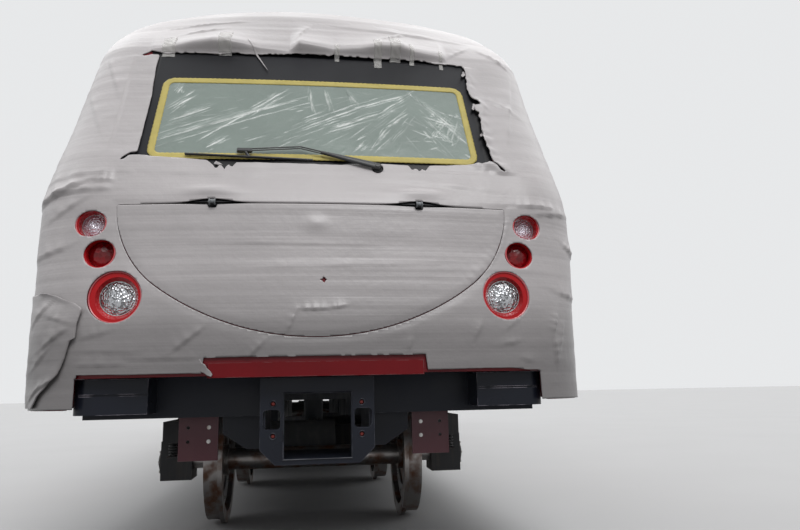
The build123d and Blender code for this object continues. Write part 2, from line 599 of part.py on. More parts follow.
def side_windows():
    """Centre and half length of each side window along the car."""
    half = DOOR_PITCH / 2 - LEAF_REACH - WINDOW_MARGIN
    windows = [(y + DOOR_PITCH / 2, half) for y in DOOR_CENTRES[:-1]]
    y0 = DOOR_CENTRES[-1] + LEAF_REACH + WINDOW_MARGIN
    y1 = SHELL_TAIL_Y - END_WALL - WINDOW_TAIL_MARGIN
    return windows + [((y0 + y1) / 2, (y1 - y0) / 2)]


def window_block(y, half):
    """Block that cuts a side window, with round corners."""
    block = box(*wall_span(), y - half, y + half, WINDOW_LOW_Z, WINDOW_HIGH_Z)
    return fillet(block.edges().filter_by(Axis.X), WINDOW_CORNER_R)


def build_side_panes():
    panes = []
    for y, half in side_windows():
        sheet = layer(WINDOW_LOW_Z - 50, WINDOW_HIGH_Z + 50, PANE_INSET, PANE_INSET + PANE_THICK,
                      y - half - 50, y + half + 50)
        panes += both(sheet & window_block(y, half))
    return panes


def build_leaf(y0, y1, pane_y0, pane_y1):
    leaf = leaf_band(FLOOR_Z - LEAF_TUCK, DOORWAY_TOP_Z + LEAF_TUCK, y0, y1)
    hole = box(*wall_span(), pane_y0, pane_y1, LEAF_PANE_LOW_Z, LEAF_PANE_HIGH_Z)
    return leaf - fillet(hole.edges().filter_by(Axis.X), LEAF_PANE_CORNER_R)


def build_leaves():
    parts = {}
    for side in ("left", "right"):
        for number, y in enumerate(DOOR_CENTRES, 1):
            for end, sign in (("front", -1), ("rear", 1)):
                near, far = y + sign * LEAF_MEET, y + sign * (DOORWAY_HALF + LEAF_OVERLAP)
                pane_near = near + sign * LEAF_PANE_MARGIN
                pane_far = y + sign * (DOORWAY_HALF - LEAF_PANE_MARGIN)
                leaf = build_leaf(min(near, far), max(near, far), min(pane_near, pane_far),
                                  max(pane_near, pane_far))
                parts[f"door_{side}_{number}_{end}"] = leaf if side == "left" else mirror(leaf, about=Plane.YZ)
        y0, y1 = CAB_DOOR_Y - CAB_DOOR_HALF, CAB_DOOR_Y + CAB_DOOR_HALF
        leaf = build_leaf(y0 - LEAF_OVERLAP, y1 + LEAF_OVERLAP, y0 + CAB_PANE_MARGIN, y1 - CAB_PANE_MARGIN)
        parts[f"cab_door_{side}"] = leaf if side == "left" else mirror(leaf, about=Plane.YZ)
    return parts


def build_shell():
    front, tail = back(MASK_LENGTH), SHELL_TAIL_Y - END_WALL
    roof = section(0.0, front, tail, CANTRAIL_Z) - section(WALL, front - 1, tail + 1, CANTRAIL_Z - 50)
    end = section(0.0, tail, SHELL_TAIL_Y, SKIRT_Z)
    end -= box(-GANGWAY_HALF, GANGWAY_HALF, tail - 1, SHELL_TAIL_Y + 1, FLOOR_Z, GANGWAY_TOP_Z)
    bulkhead = section(WALL, BULKHEAD_Y, BULKHEAD_Y + BULKHEAD_THICK, FLOOR_Z)
    bulkhead -= box(-CAB_INNER_HALF, CAB_INNER_HALF, BULKHEAD_Y - 1, BULKHEAD_Y + BULKHEAD_THICK + 1,
                    FLOOR_Z, FLOOR_Z + INNER_DOOR_HEIGHT)
    gap = INNER_DOOR_GAP
    door = box(-CAB_INNER_HALF + gap, CAB_INNER_HALF - gap, BULKHEAD_Y, BULKHEAD_Y + BULKHEAD_THICK,
               FLOOR_Z + gap, FLOOR_Z + INNER_DOOR_HEIGHT - gap)
    wall = build_side_wall()
    return {
        "side_wall_left": wall, "side_wall_right": mirror(wall, about=Plane.YZ),
        "side_windows": build_side_panes(), "roof": roof, "rear_end_wall": end, "cab_bulkhead": bulkhead,
        "cab_inner_door": door, "gangway_bellows": build_gangway(), "roof_coolers": build_coolers(),
    }


def build_gangway():
    x, top, low = GANGWAY_HALF + BELLOWS_DEPTH, GANGWAY_TOP_Z + BELLOWS_DEPTH, FLOOR_Z - BELLOWS_DEPTH
    bellows = box(-x, x, SHELL_TAIL_Y, TAIL_Y, low, top)
    bellows = fillet(bellows.edges().filter_by(Axis.Y), BELLOWS_CORNER_R)
    bellows -= box(-GANGWAY_HALF, GANGWAY_HALF, SHELL_TAIL_Y - 1, TAIL_Y + 1, FLOOR_Z, GANGWAY_TOP_Z)
    pitch = GANGWAY_LENGTH / BELLOWS_FOLDS
    for i in range(BELLOWS_FOLDS):
        y0 = SHELL_TAIL_Y + (i + 0.35) * pitch
        ring = box(-x - 1, x + 1, y0, y0 + 0.3 * pitch, low - 1, top + 1)
        d = BELLOWS_GROOVE
        core = box(-x + d, x - d, y0 - 1, y0 + 0.3 * pitch + 1, low + d, top - d)
        core = fillet(core.edges().filter_by(Axis.Y), BELLOWS_CORNER_R - d)
        bellows -= ring - core
    return bellows


def build_coolers():
    under = section(0.0, back(MASK_LENGTH), SHELL_TAIL_Y, SKIRT_Z)
    units = []
    for y in (NOSE_Y + COOLER_SETBACK, TAIL_Y - COOLER_SETBACK):
        unit = box(-COOLER_HALF_X, COOLER_HALF_X, y - COOLER_HALF_Y, y + COOLER_HALF_Y, SHOULDER_Z,
                   COOLER_TOP_Z)
        top = [e for e in unit.edges() if e.center().Z > COOLER_TOP_Z - 1]
        units.append(chamfer(top, COOLER_BEVEL) - under)
    return units


# Floor, underframe and what hangs below

def build_underframe():
    half = HALF_WIDTH - WALL
    low = FLOOR_Z - FLOOR_THICK
    floor = box(-half, half, back(MASK_LENGTH), SHELL_TAIL_Y - END_WALL, low, FLOOR_Z)
    cab_floor = mask_block(MASK_THICK, SKIRT_Z - 50, MASK_LENGTH + 1)
    cab_floor &= box(-half, half, back(CAB_FLOOR_FACE), back(MASK_LENGTH), low, FLOOR_Z)
    frame = floor + cab_floor
    for y in BOGIE_Y:
        frame += box(-BOLSTER_HALF_X, BOLSTER_HALF_X, y - BOLSTER_HALF_Y, y + BOLSTER_HALF_Y, BOLSTER_LOW_Z,
                     low)
        frame += Pos(0, y, (PIVOT_LOW_Z + BOLSTER_LOW_Z) / 2) * Cylinder(PIVOT_R, BOLSTER_LOW_Z - PIVOT_LOW_Z)
    return frame


def build_bar():
    """Rear drawbar with its end plate and four bolt holes."""
    plate0 = TAIL_Y - DRAWBAR_PLATE
    bar = rod(0, SHELL_TAIL_Y - DRAWBAR_ROOT, plate0, DRAWBAR_Z, DRAWBAR_R)
    bar += rod(0, plate0, TAIL_Y, DRAWBAR_Z, DRAWBAR_FLANGE_R)
    half = DRAWBAR_PCD / 2
    for i in range(4):
        a = radians(45 + 90 * i)
        bar -= rod(half * cos(a), plate0 - 1, TAIL_Y + 1, DRAWBAR_Z + half * sin(a), DRAWBAR_BOLT_R)
    y0 = SHELL_TAIL_Y - DRAWBAR_ROOT
    bar += box(-DRAWBAR_BOX, DRAWBAR_BOX, y0 - 2 * DRAWBAR_BOX, y0, DRAWBAR_Z - DRAWBAR_BOX,
               FLOOR_Z - FLOOR_THICK)
    return bar


def build_cases():
    """Equipment cases between the bogies: two of one length, and a third that fills the rest."""
    cases = []
    first = BOGIE_Y[0] + CASE_CLEAR
    second = first + CASE_LENGTH + CASE_GAP
    third = second + CASE_LENGTH + CASE_GAP
    spans = [(first, first + CASE_LENGTH), (second, second + CASE_LENGTH), (third, BOGIE_Y[1] - CASE_CLEAR)]
    for y0, y1 in spans:
        case = box(CASE_IN, CASE_OUT, y0, y1, CASE_LOW_Z, FLOOR_Z - FLOOR_THICK)
        low = [e for e in case.edges().filter_by(Axis.Y) if e.center().Z < CASE_LOW_Z + 1]
        cases += both(fillet(low, CASE_EDGE_R))
    return cases


# Bogies

def build_wheelset(y):
    z = FLANGE_R
    inner, outer = WHEEL_INNER_X - FLANGE_THICK, WHEEL_INNER_X + TREAD_WIDTH
    axle = cross_rod(-JOURNAL_OUT, JOURNAL_OUT, y, z, JOURNAL_R)
    axle += cross_rod(-outer - 20, outer + 20, y, z, AXLE_R)
    for side in (-1, 1):
        x0, x1 = sorted((side * inner, side * outer))
        f0, f1 = sorted((side * inner, side * (inner + FLANGE_THICK)))
        wheel = cross_rod(x0, x1, y, z, TREAD_R) + cross_rod(f0, f1, y, z, FLANGE_R)
        wheel -= cross_rod(x0 - 1, x1 + 1, y, z, TREAD_R - RIM_DEPTH)
        mid = (x0 + x1) / 2
        wheel += cross_rod(mid - WEB_HALF, mid + WEB_HALF, y, z, TREAD_R - RIM_DEPTH / 2)
        wheel += cross_rod(x0, x1, y, z, HUB_R)
        axle += wheel
    return axle


def build_bogie(y):
    top = BEAM_HIGH_Z
    h, w = WHEELBASE / 2 + BEAM_END, WELL_HALF_LENGTH
    arm_top, arm_low = top + BEAM_ARM_RISE, BEAM_LOW_Z + BEAM_ARM_RISE
    profile = [(y - h, arm_low), (y - w - BEAM_RAMP, arm_low), (y - w, BEAM_LOW_Z - WELL_DROP),
               (y + w, BEAM_LOW_Z - WELL_DROP), (y + w + BEAM_RAMP, arm_low), (y + h, arm_low),
               (y + h, arm_top), (y + w + BEAM_RAMP, arm_top), (y + w, top), (y - w, top),
               (y - w - BEAM_RAMP, arm_top), (y - h, arm_top)]
    beam = across(profile, BEAM_IN, BEAM_OUT)
    for dy in (-WHEELBASE / 2, WHEELBASE / 2):
        box_y = y + dy
        axle_box = box(BEAM_IN, BOX_OUT, box_y - BOX_HALF, box_y + BOX_HALF, FLANGE_R - BOX_HALF, arm_low + 1)
        beam += axle_box
        beam -= cross_rod(BEAM_IN - 1, JOURNAL_OUT + BOX_CLEAR * 10, box_y, FLANGE_R, JOURNAL_R + BOX_CLEAR)
    frame = beam + mirror(beam, about=Plane.YZ)
    frame += box(-BEAM_IN - 1, BEAM_IN + 1, y - TRANSOM_HALF, y + TRANSOM_HALF, TRANSOM_LOW_Z, top)
    frame -= Pos(0, y, top) * Cylinder(PIVOT_R + PIVOT_BORE_CLEAR, 2 * (top - TRANSOM_LOW_Z) + 10)
    return frame


def build_motors(y):
    """Two cross-mounted motors, each hung on the transom by a block."""
    pieces = []
    for sign in (-1, 1):
        my = y + sign * MOTOR_OFFSET
        x0, x1 = -MOTOR_IN * sign, MOTOR_OUT * sign
        motor = cross_rod(min(x0, x1), max(x0, x1), my, MOTOR_Z, MOTOR_R)
        y_beam = y + sign * TRANSOM_HALF
        a, b = sorted((y_beam, my))
        hanger = box(min(x0, x1) + HANGER_IN, max(x0, x1) - HANGER_IN, a, b, TRANSOM_LOW_Z + 20,
                     BEAM_HIGH_Z - 20)
        pieces.append(motor + hanger)
    return pieces


def build_springs():
    springs = []
    for y in BOGIE_Y:
        low, high = BEAM_HIGH_Z + SPRING_GAP, BOLSTER_LOW_Z
        for x in (-SPRING_X, SPRING_X):
            spring = Pos(x, y, (low + high) / 2) * Cylinder(SPRING_R, high - low)
            rims = spring.edges().filter_by(GeomType.CIRCLE)
            springs.append(fillet(rims, SPRING_ROUND))
    return springs


def build_bogies():
    parts = {"air_springs": build_springs()}
    number = 1
    for end, y in zip(("front", "rear"), BOGIE_Y):
        parts[f"bogie_frame_{end}"] = build_bogie(y)
        parts[f"traction_motors_{end}"] = build_motors(y)
        for dy in (-WHEELBASE / 2, WHEELBASE / 2):
            parts[f"wheelset_{number}"] = build_wheelset(y + dy)
            number += 1
    return parts


# Inside

def build_benches():
    """Long benches against the walls under the side windows."""
    benches = []
    out = HALF_WIDTH - WALL
    seat_z = FLOOR_Z + BENCH_HEIGHT
    for y, half in side_windows():
        outline = [(out, FLOOR_Z), (out, BENCH_BACK_TOP), (out - BENCH_THICK, BENCH_BACK_TOP),
                   (out - 2 * BENCH_THICK, seat_z), (out - BENCH_DEPTH, seat_z),
                   (out - BENCH_DEPTH, seat_z - BENCH_THICK), (out - BENCH_FOOT, seat_z - BENCH_THICK),
                   (out - BENCH_FOOT, FLOOR_Z)]
        benches += both(along(outline, y - half, y + half))
    return benches


def build_poles():
    """Upright poles at the bench ends, from the floor to the ceiling."""
    ceiling = section(WALL, back(0), TAIL_Y, SKIRT_Z)
    poles = []
    for y, half in side_windows():
        for py in (y - half + POLE_R, y + half - POLE_R):
            pole = Pos(POLE_X, py, (FLOOR_Z + CROWN_Z) / 2) * Cylinder(POLE_R, CROWN_Z - FLOOR_Z)
            poles += both(pole & ceiling)
    return poles


def build_rails():
    """Hand rails below the ceiling, hung on short rods."""
    ceiling = section(WALL, back(0), TAIL_Y, SKIRT_Z)
    rails = []
    for centre, half in side_windows():
        rail = rod(RAIL_X, centre - half, centre + half, RAIL_Z, POLE_R)
        for y in (centre - half + RAIL_HANGER, centre + half - RAIL_HANGER):
            rail += Pos(RAIL_X, y, (RAIL_Z + CROWN_Z) / 2) * Cylinder(RAIL_ROD_R, CROWN_Z - RAIL_Z)
        rails += both(rail & ceiling)
    return rails


def build_driver_place():
    y0, y1 = back(DESK_FRONT), back(DESK_REAR)
    desk = across([(y0, FLOOR_Z), (y0, DESK_HIGH_Z), (y1 - DESK_SLOPE, DESK_HIGH_Z), (y1, DESK_LOW_Z),
                   (y1, DESK_LOW_Z - DESK_LIP), (y1 - DESK_KNEE, DESK_LOW_Z - DESK_LIP),
                   (y1 - DESK_KNEE, FLOOR_Z)], -DESK_HALF, DESK_HALF)
    desk &= mask_block(MASK_THICK + DESK_CLEAR, SKIRT_Z - 50, MASK_LENGTH + 400)
    sy = back(SEAT_S)
    seat = Pos(0, sy, FLOOR_Z + SEAT_POST / 2) * Cylinder(SEAT_POST_R, SEAT_POST)
    pad_z = FLOOR_Z + SEAT_POST
    seat += box(-SEAT_HALF, SEAT_HALF, sy - SEAT_HALF, sy + SEAT_HALF, pad_z, pad_z + SEAT_PAD)
    seat += across([(sy + SEAT_HALF - SEAT_PAD, pad_z), (sy + SEAT_HALF - SEAT_PAD, pad_z + SEAT_PAD),
                    (sy + SEAT_HALF, pad_z + SEAT_BACK), (sy + SEAT_HALF + SEAT_PAD, pad_z + SEAT_BACK),
                    (sy + SEAT_HALF, pad_z)], -SEAT_HALF, SEAT_HALF)
    return {"driver_desk": desk, "driver_seat": seat}


def build_wiper():
    """Parked wiper: a cranked arm from its spindle, and a blade clasped at its middle."""
    front = mask_block(-WIPER_STAND - WIPER_BAR, SKIRT_Z, MASK_LENGTH)
    foot_point, elbow, holder = WIPER_POINTS
    bars = bar_prism(foot_point, elbow, WIPER_ARM)
    bars += bar_prism(elbow, holder, WIPER_ARM)
    (x0, z0), (x1, z1) = WIPER_BLADE
    bars += bar_prism(holder, ((x0 + x1) / 2, (z0 + z1) / 2), WIPER_ARM)
    bars += bar_prism(*WIPER_BLADE, WIPER_RUBBER)
    wiper = front & bars
    wiper -= mask_block(-WIPER_STAND, SKIRT_Z - 50, MASK_LENGTH + 50)
    foot = front & rod(foot_point[0], back(-200), back(700), foot_point[1], WIPER_FOOT_R)
    foot -= mask_block(0.0, SKIRT_Z - 50, MASK_LENGTH + 50)
    return wiper + foot


def bar_prism(a, b, width):
    """Prism along Y over a straight bar between two XZ points, with round ends."""
    (x0, z0), (x1, z1) = a, b
    length = sqrt((x1 - x0) ** 2 + (z1 - z0) ** 2)
    ux, uz = (z0 - z1) / length * width / 2, (x1 - x0) / length * width / 2
    front, rear = back(-200), back(700)
    shape = along([(x0 + ux, z0 + uz), (x1 + ux, z1 + uz), (x1 - ux, z1 - uz), (x0 - ux, z0 - uz)], front, rear)
    return shape + rod(x0, front, rear, z0, width / 2) + rod(x1, front, rear, z1, width / 2)


def save(parts):
    os.makedirs("parts", exist_ok=True)
    for name, shape in parts.items():
        solids = []
        for piece in (shape if isinstance(shape, list) else [shape]):
            solids += piece.solids()
        export_step(Compound(solids) if len(solids) > 1 else solids[0], f"parts/{name}.step")
        print(name, len(solids), round(sum(s.volume for s in solids) / 1e9, 4))


if __name__ == "__main__":
    save(build_mask() | build_covers() | build_nose() | build_shell() | build_leaves() | build_bogies()
         | {"underframe": build_underframe(), "rear_drawbar": build_bar(), "equipment_cases": build_cases(),
            "benches": build_benches(), "grab_poles": build_poles(), "hand_rails": build_rails(),
            "wiper": build_wiper()}
         | build_driver_place())
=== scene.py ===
"""Looks of the metro car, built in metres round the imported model: its nose is at the low end of Y."""
import json
from math import asin, cos, pi, radians, sin, sqrt

import bmesh
import bpy
import numpy as np
from bpy.props import FloatProperty, FloatVectorProperty, PointerProperty
from mathutils import Euler, Matrix, Vector, noise


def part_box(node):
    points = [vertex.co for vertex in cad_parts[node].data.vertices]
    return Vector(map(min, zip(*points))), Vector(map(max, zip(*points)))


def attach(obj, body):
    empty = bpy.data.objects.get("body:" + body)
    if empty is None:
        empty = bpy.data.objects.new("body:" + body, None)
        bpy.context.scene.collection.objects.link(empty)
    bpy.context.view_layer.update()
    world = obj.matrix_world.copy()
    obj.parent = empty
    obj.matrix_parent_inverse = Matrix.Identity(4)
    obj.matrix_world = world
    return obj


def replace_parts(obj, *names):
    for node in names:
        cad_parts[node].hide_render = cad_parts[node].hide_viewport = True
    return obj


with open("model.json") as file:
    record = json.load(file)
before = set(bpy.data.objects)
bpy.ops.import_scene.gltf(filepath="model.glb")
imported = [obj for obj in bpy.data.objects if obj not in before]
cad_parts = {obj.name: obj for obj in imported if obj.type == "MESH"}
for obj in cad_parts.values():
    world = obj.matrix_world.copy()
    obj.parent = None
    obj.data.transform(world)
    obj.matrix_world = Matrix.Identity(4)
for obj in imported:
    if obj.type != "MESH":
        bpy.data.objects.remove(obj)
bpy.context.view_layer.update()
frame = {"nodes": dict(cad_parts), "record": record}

bl_info = {
    "name": "Metro car looks",
    "version": (1, 0, 0),
    "blender": (4, 5, 0),
    "location": "View3D > Sidebar > Metro car",
    "description": "Finishes, covers and small fittings of a metro cab car",
    "category": "Object",
}

RECORD_SLOTS = {material["slot"] for material in frame["record"]["materials"]}

# Places that the car's frame gives
TAIL_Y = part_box("gangway_bellows")[1].y
NOSE_Y = -TAIL_Y
HALF_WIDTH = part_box("side_wall_left")[1].x
SKIRT_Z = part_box("side_wall_left")[0].z
CROWN_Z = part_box("roof")[1].z
FLOOR_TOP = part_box("driver_desk")[0].z
FILM_LOW_Z, FILM_HIGH_Z = (corner.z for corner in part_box("window_film"))

# The mask's level lines: height, setback of the front's middle from the nose, corner radius, bow radius
MASK_ROWS = np.array([
    (0.800, 0.030, 0.400, 6.5),
    (1.060, 0.015, 0.420, 6.5),
    (1.300, 0.015, 0.420, 6.5),
    (1.930, 0.080, 0.410, 7.0),
    (2.230, 0.235, 0.390, 16.0),
    (3.110, 0.680, 0.330, 16.0),
    (3.320, 0.815, 0.350, 6.0),
    (3.480, 0.925, 0.480, 3.8),
    (3.600, 1.075, 0.580, 3.4),
    (3.760, 1.430, 0.600, 3.4),
])
WAIST_Z, SHOULDER_Z, SHOULDER_LEAN, SHOULDER_R = 2.05, 3.33, 0.112, 0.17

# The half-moon hatch, its hinges, and where the sheet ends behind the nose
HATCH_HALF, HATCH_TOP, HATCH_DROP, HATCH_SIDE_R = 1.035, 1.930, 0.710, 0.550
HINGE_X, HINGE_Z = 0.545, 1.935
SHEET_REAR, SHEET_EDGE = 1.385, 0.006
TAPE_THICKNESS = 0.0012
PANE_INSET, PANE_THICKNESS = 0.040, 0.008
# Lamps: x, z, radius of the hole in the mask, lens radius
LAMPS = {
    "head": (1.010, 1.439, 0.132, 0.090),
    "tail": (1.108, 1.672, 0.082, 0.068),
    "marker": (1.164, 1.832, 0.080, 0.066),
}
# The sheet's holes at the lamps: x, z, half width, half height
SHEET_LAMP_HOLES = [(1.010, 1.440, 0.136, 0.134), (1.102, 1.665, 0.083, 0.075), (1.162, 1.830, 0.084, 0.071)]


# Shader nodes

def add(tree, kind, inputs, **attributes):
    """New shader node: attributes are set, and inputs, by name or number, are set or linked."""
    node = tree.nodes.new("ShaderNode" + kind)
    for name, value in attributes.items():
        setattr(node, name, value)
    for key, value in inputs.items():
        if isinstance(value, bpy.types.NodeSocket):
            tree.links.new(value, node.inputs[key])
        else:
            node.inputs[key].default_value = value
    return node


def blend_colour(tree, factor, a, b):
    """Colour socket that goes from a to b with a factor."""
    return add(tree, "Mix", {0: factor, 6: a, 7: b}, data_type="RGBA").outputs[2]


def maths(tree, operation, a, b=0.0, clamp=False):
    """Value socket of a sum."""
    return add(tree, "Math", {0: a, 1: b}, operation=operation, use_clamp=clamp).outputs[0]


def soft_noise(tree, place, scale, detail):
    """Value socket of soft noise."""
    return add(tree, "TexNoise", {"Vector": place, "Scale": scale, "Detail": detail}).outputs[0]


def stretched(tree, place, axes):
    """Coordinates drawn out along the axes."""
    return add(tree, "VectorMath", {0: place, 1: axes}, operation="MULTIPLY").outputs[0]


def new_group(name, inputs, outputs):
    """Empty node group with named sockets, its place among them, and the two ends to wire."""
    tree = bpy.data.node_groups.new(name, "ShaderNodeTree")
    tree.interface.new_socket("Place", in_out="INPUT", socket_type="NodeSocketVector")
    for socket, default in inputs.items():
        made = tree.interface.new_socket(socket, in_out="INPUT", socket_type="NodeSocketFloat")
        made.default_value = default
    for socket in outputs:
        tree.interface.new_socket(socket, in_out="OUTPUT", socket_type="NodeSocketFloat")
    return tree, tree.nodes.new("NodeGroupInput").outputs, tree.nodes.new("NodeGroupOutput").inputs


def patches_group(name):
    """Soft uneven patches: noise of a scale, spread between two limits."""
    tree, given, out = new_group(name, {"Scale": 3.0, "From": 0.4, "To": 0.65}, ["Amount"])
    patch = soft_noise(tree, given["Place"], given["Scale"], 5.0)
    spread = add(tree, "MapRange", {0: patch, 1: given["From"], 2: given["To"]})
    tree.links.new(spread.outputs[0], out["Amount"])
    return tree


def edge_wear_group(name):
    """Where edges are rubbed: the rounded normal leaves the true one, broken up by noise."""
    tree, given, out = new_group(name, {"Radius": 0.006, "Scale": 14.0, "Amount": 1.0}, ["Amount"])
    rounded = add(tree, "Bevel", {"Radius": given["Radius"]}, samples=4)
    true = add(tree, "NewGeometry", {})
    dot = add(tree, "VectorMath", {0: rounded.outputs[0], 1: true.outputs["Normal"]}, operation="DOT_PRODUCT")
    edge = maths(tree, "SUBTRACT", 1.0, dot.outputs["Value"])
    edge = maths(tree, "MULTIPLY", edge, 9.0, clamp=True)
    patch = soft_noise(tree, given["Place"], given["Scale"], 6.0)
    broken = add(tree, "MapRange", {0: patch, 1: 0.42, 2: 0.62})
    worn = maths(tree, "MULTIPLY", edge, broken.outputs[0])
    tree.links.new(maths(tree, "MULTIPLY", worn, given["Amount"], clamp=True), out["Amount"])
    return tree


def dust_group(name):
    """Dust and dried runs: thicker on faces that look up, and in streaks down upright faces."""
    tree, given, out = new_group(name, {"Scale": 2.5, "Upper": 0.6, "Streaks": 0.25}, ["Amount"])
    normal = add(tree, "SeparateXYZ", {0: add(tree, "NewGeometry", {}).outputs["Normal"]})
    up = maths(tree, "MULTIPLY", normal.outputs[2], given["Upper"], clamp=True)
    patch = soft_noise(tree, given["Place"], given["Scale"], 6.0)
    upper = maths(tree, "MULTIPLY", up, maths(tree, "ADD", patch, 0.4))
    runs = soft_noise(tree, stretched(tree, given["Place"], (9.0, 9.0, 0.7)), given["Scale"], 4.0)
    run = add(tree, "MapRange", {0: runs, 1: 0.5, 2: 0.75})
    streak = maths(tree, "MULTIPLY", run.outputs[0], given["Streaks"])
    tree.links.new(maths(tree, "ADD", upper, streak, clamp=True), out["Amount"])
    return tree


def ribs_group(name):
    """Fine level ribs of a woven or pressed sheet, uneven along their length."""
    tree, given, out = new_group(name, {"Spacing": 0.02, "Along": 1.5}, ["Height", "Tone"])
    parts = add(tree, "SeparateXYZ", {0: given["Place"]}).outputs
    steps = maths(tree, "DIVIDE", parts[2], given["Spacing"])
    side = maths(tree, "MULTIPLY", parts[0], given["Along"])
    deep = maths(tree, "MULTIPLY", parts[1], given["Along"])
    rib = soft_noise(tree, add(tree, "CombineXYZ", {0: side, 1: deep, 2: steps}).outputs[0], 1.0, 2.0)
    wide_steps = maths(tree, "MULTIPLY", steps, 0.3)
    band = soft_noise(tree, add(tree, "CombineXYZ", {0: side, 1: deep, 2: wide_steps}).outputs[0], 1.0, 3.0)
    tree.links.new(rib, out["Height"])
    tree.links.new(maths(tree, "MULTIPLY", rib, band), out["Tone"])
    return tree


def facets_group(name):
    """Pressed pattern of small lens facets."""
    tree, given, out = new_group(name, {"Scale": 60.0}, ["Height", "Tone"])
    cells = add(tree, "TexVoronoi", {"Vector": given["Place"], "Scale": given["Scale"]}, feature="F1")
    tone = add(tree, "SeparateColor", {0: cells.outputs["Color"]})
    tree.links.new(cells.outputs["Distance"], out["Height"])
    tree.links.new(tone.outputs[0], out["Tone"])
    return tree


GROUP_BUILDERS = {"patches": patches_group, "edge_wear": edge_wear_group, "dust": dust_group,
                  "ribs": ribs_group, "facets": facets_group}


def shade(colour, share):
    """A colour, darker or lighter by a share."""
    return tuple(min(1.0, c * share) for c in colour)


class Finish:
    """One material: a Principled shader, the car's own coordinates, and the nodes between them."""

    def __init__(self, name, colour, roughness, **sockets):
        self.material = bpy.data.materials.new(name)
        self.material.use_nodes = True
        self.tree = self.material.node_tree
        self.shader = self.tree.nodes["Principled BSDF"]
        self.roughness = roughness
        self.colour = (*colour, 1.0)
        self.set("Base Color", self.colour)
        self.set("Roughness", roughness)
        for socket, value in sockets.items():
            self.set(socket.replace("_", " "), value)
        self.place = self.node("TexCoord", {}).outputs["Object"]

    def set(self, socket, value):
        """Gives a socket of the shader its plain value."""
        self.shader.inputs[socket].default_value = value

    def feed(self, socket, output):
        """Links an output to a socket of the shader."""
        self.tree.links.new(output, self.shader.inputs[socket])

    def node(self, kind, inputs, **attributes):
        """New node of this material."""
        return add(self.tree, kind, inputs, **attributes)

    def maths(self, *values, **options):
        """Value socket of a sum in this material."""
        return maths(self.tree, *values, **options)

    def effect(self, name, **values):
        """Outputs of a shared effect's node, with its own values."""
        node = self.tree.nodes.new("ShaderNodeGroup")
        node.node_tree = bpy.data.node_groups.get(name) or GROUP_BUILDERS[name](name)
        self.tree.links.new(self.place, node.inputs["Place"])
        for socket, value in values.items():
            node.inputs[socket].default_value = value
        return node.outputs

    def patches(self, scale, low, high):
        """Amount of the shared patches."""
        return self.effect("patches", Scale=scale, From=low, To=high)[0]

    def tint(self, amount, colour, share=1.0):
        """Lays another colour over the present one by a share of an amount."""
        if share != 1.0:
            amount = self.maths("MULTIPLY", amount, share)
        self.colour = blend_colour(self.tree, amount, self.colour, (*colour, 1.0))
        self.feed("Base Color", self.colour)

    def vary_roughness(self, amount, low, high):
        """Roughness that goes from a low to a high value with an amount."""
        self.feed("Roughness", self.node("MapRange", {0: amount, 3: low, 4: high}).outputs[0])

    def smear(self, amount, low_share, high_share):
        """Roughness that goes from one share of the plain one to another."""
        self.vary_roughness(amount, self.roughness * low_share, min(1.0, self.roughness * high_share))

    def bump(self, height, depth):
        """Bump of a height socket, of a depth in metres, over the bumps laid before."""
        before = self.shader.inputs["Normal"]
        inputs = {"Height": height, "Distance": depth, "Strength": 1.0}
        if before.is_linked:
            inputs["Normal"] = before.links[0].from_socket
        self.feed("Normal", self.node("Bump", inputs).outputs[0])

    def grain(self, scale, detail, depth, place=None):
        """Bump of fine noise."""
        self.bump(soft_noise(self.tree, place or self.place, scale, detail), depth)


def paint(name, colour, roughness, wear=0.0, dust=0.25, coat=0.0, peel=0.00025,
          dust_colour=(0.42, 0.40, 0.37)):
    """Painted metal: slight orange peel, uneven gloss, dust in runs, and rubbed edges."""
    finish = Finish(name, colour, roughness, Coat_Weight=coat, Coat_Roughness=0.08)
    patch = finish.patches(1.7, 0.35, 0.7)
    finish.tint(patch, shade(colour, 0.8), 0.35)
    finish.smear(patch, 0.8, 1.35)
    finish.tint(finish.effect("dust", Scale=2.2, Upper=dust, Streaks=dust * 0.6)[0], dust_colour)
    if wear:
        finish.tint(finish.effect("edge_wear", Radius=0.005, Scale=11.0, Amount=wear)[0], (0.35, 0.34, 0.33))
    finish.grain(160.0, 2.0, peel)
    return finish.material


def deep_paint(name, colour, roughness, wear=0.0, bare=(0.35, 0.34, 0.33)):
    """Smooth deep paint that mirrors little, with smears and rubbed edges; on the anticlimbers the pale rubbed
    edges are painted highlights.
    """
    finish = Finish(name, colour, roughness, Specular_IOR_Level=0.22)
    patch = finish.patches(2.6, 0.35, 0.7)
    finish.tint(patch, shade(colour, 1.5), 0.5)
    finish.smear(patch, 0.8, 1.3)
    if wear:
        finish.tint(finish.effect("edge_wear", Radius=0.004, Scale=14.0, Amount=wear)[0], bare)
    finish.grain(140.0, 2.0, 0.0001)
    return finish.material


def rubber(name, colour, roughness=0.62, ribs=0.0):
    """Rubber: matt, chalky where it is weathered."""
    finish = Finish(name, colour, roughness)
    finish.tint(finish.patches(6.0, 0.4, 0.75), shade(colour, 2.2))
    finish.tint(finish.effect("dust", Scale=4.0, Upper=0.35, Streaks=0.1)[0], (0.20, 0.19, 0.18))
    finish.grain(260.0, 3.0, 0.0006)
    if ribs:
        finish.bump(finish.effect("ribs", Spacing=ribs, Along=2.0)["Height"], 0.001)
    return finish.material


def plastic(name, colour, roughness):
    """Moulded plastic with a fine leather grain and handled patches."""
    finish = Finish(name, colour, roughness)
    patch = finish.patches(5.0, 0.4, 0.7)
    finish.tint(patch, shade(colour, 0.75), 0.5)
    finish.smear(patch, 0.75, 1.2)
    cells = finish.node("TexVoronoi", {"Vector": finish.place, "Scale": 220.0})
    finish.bump(cells.outputs["Distance"], 0.0004)
    return finish.material


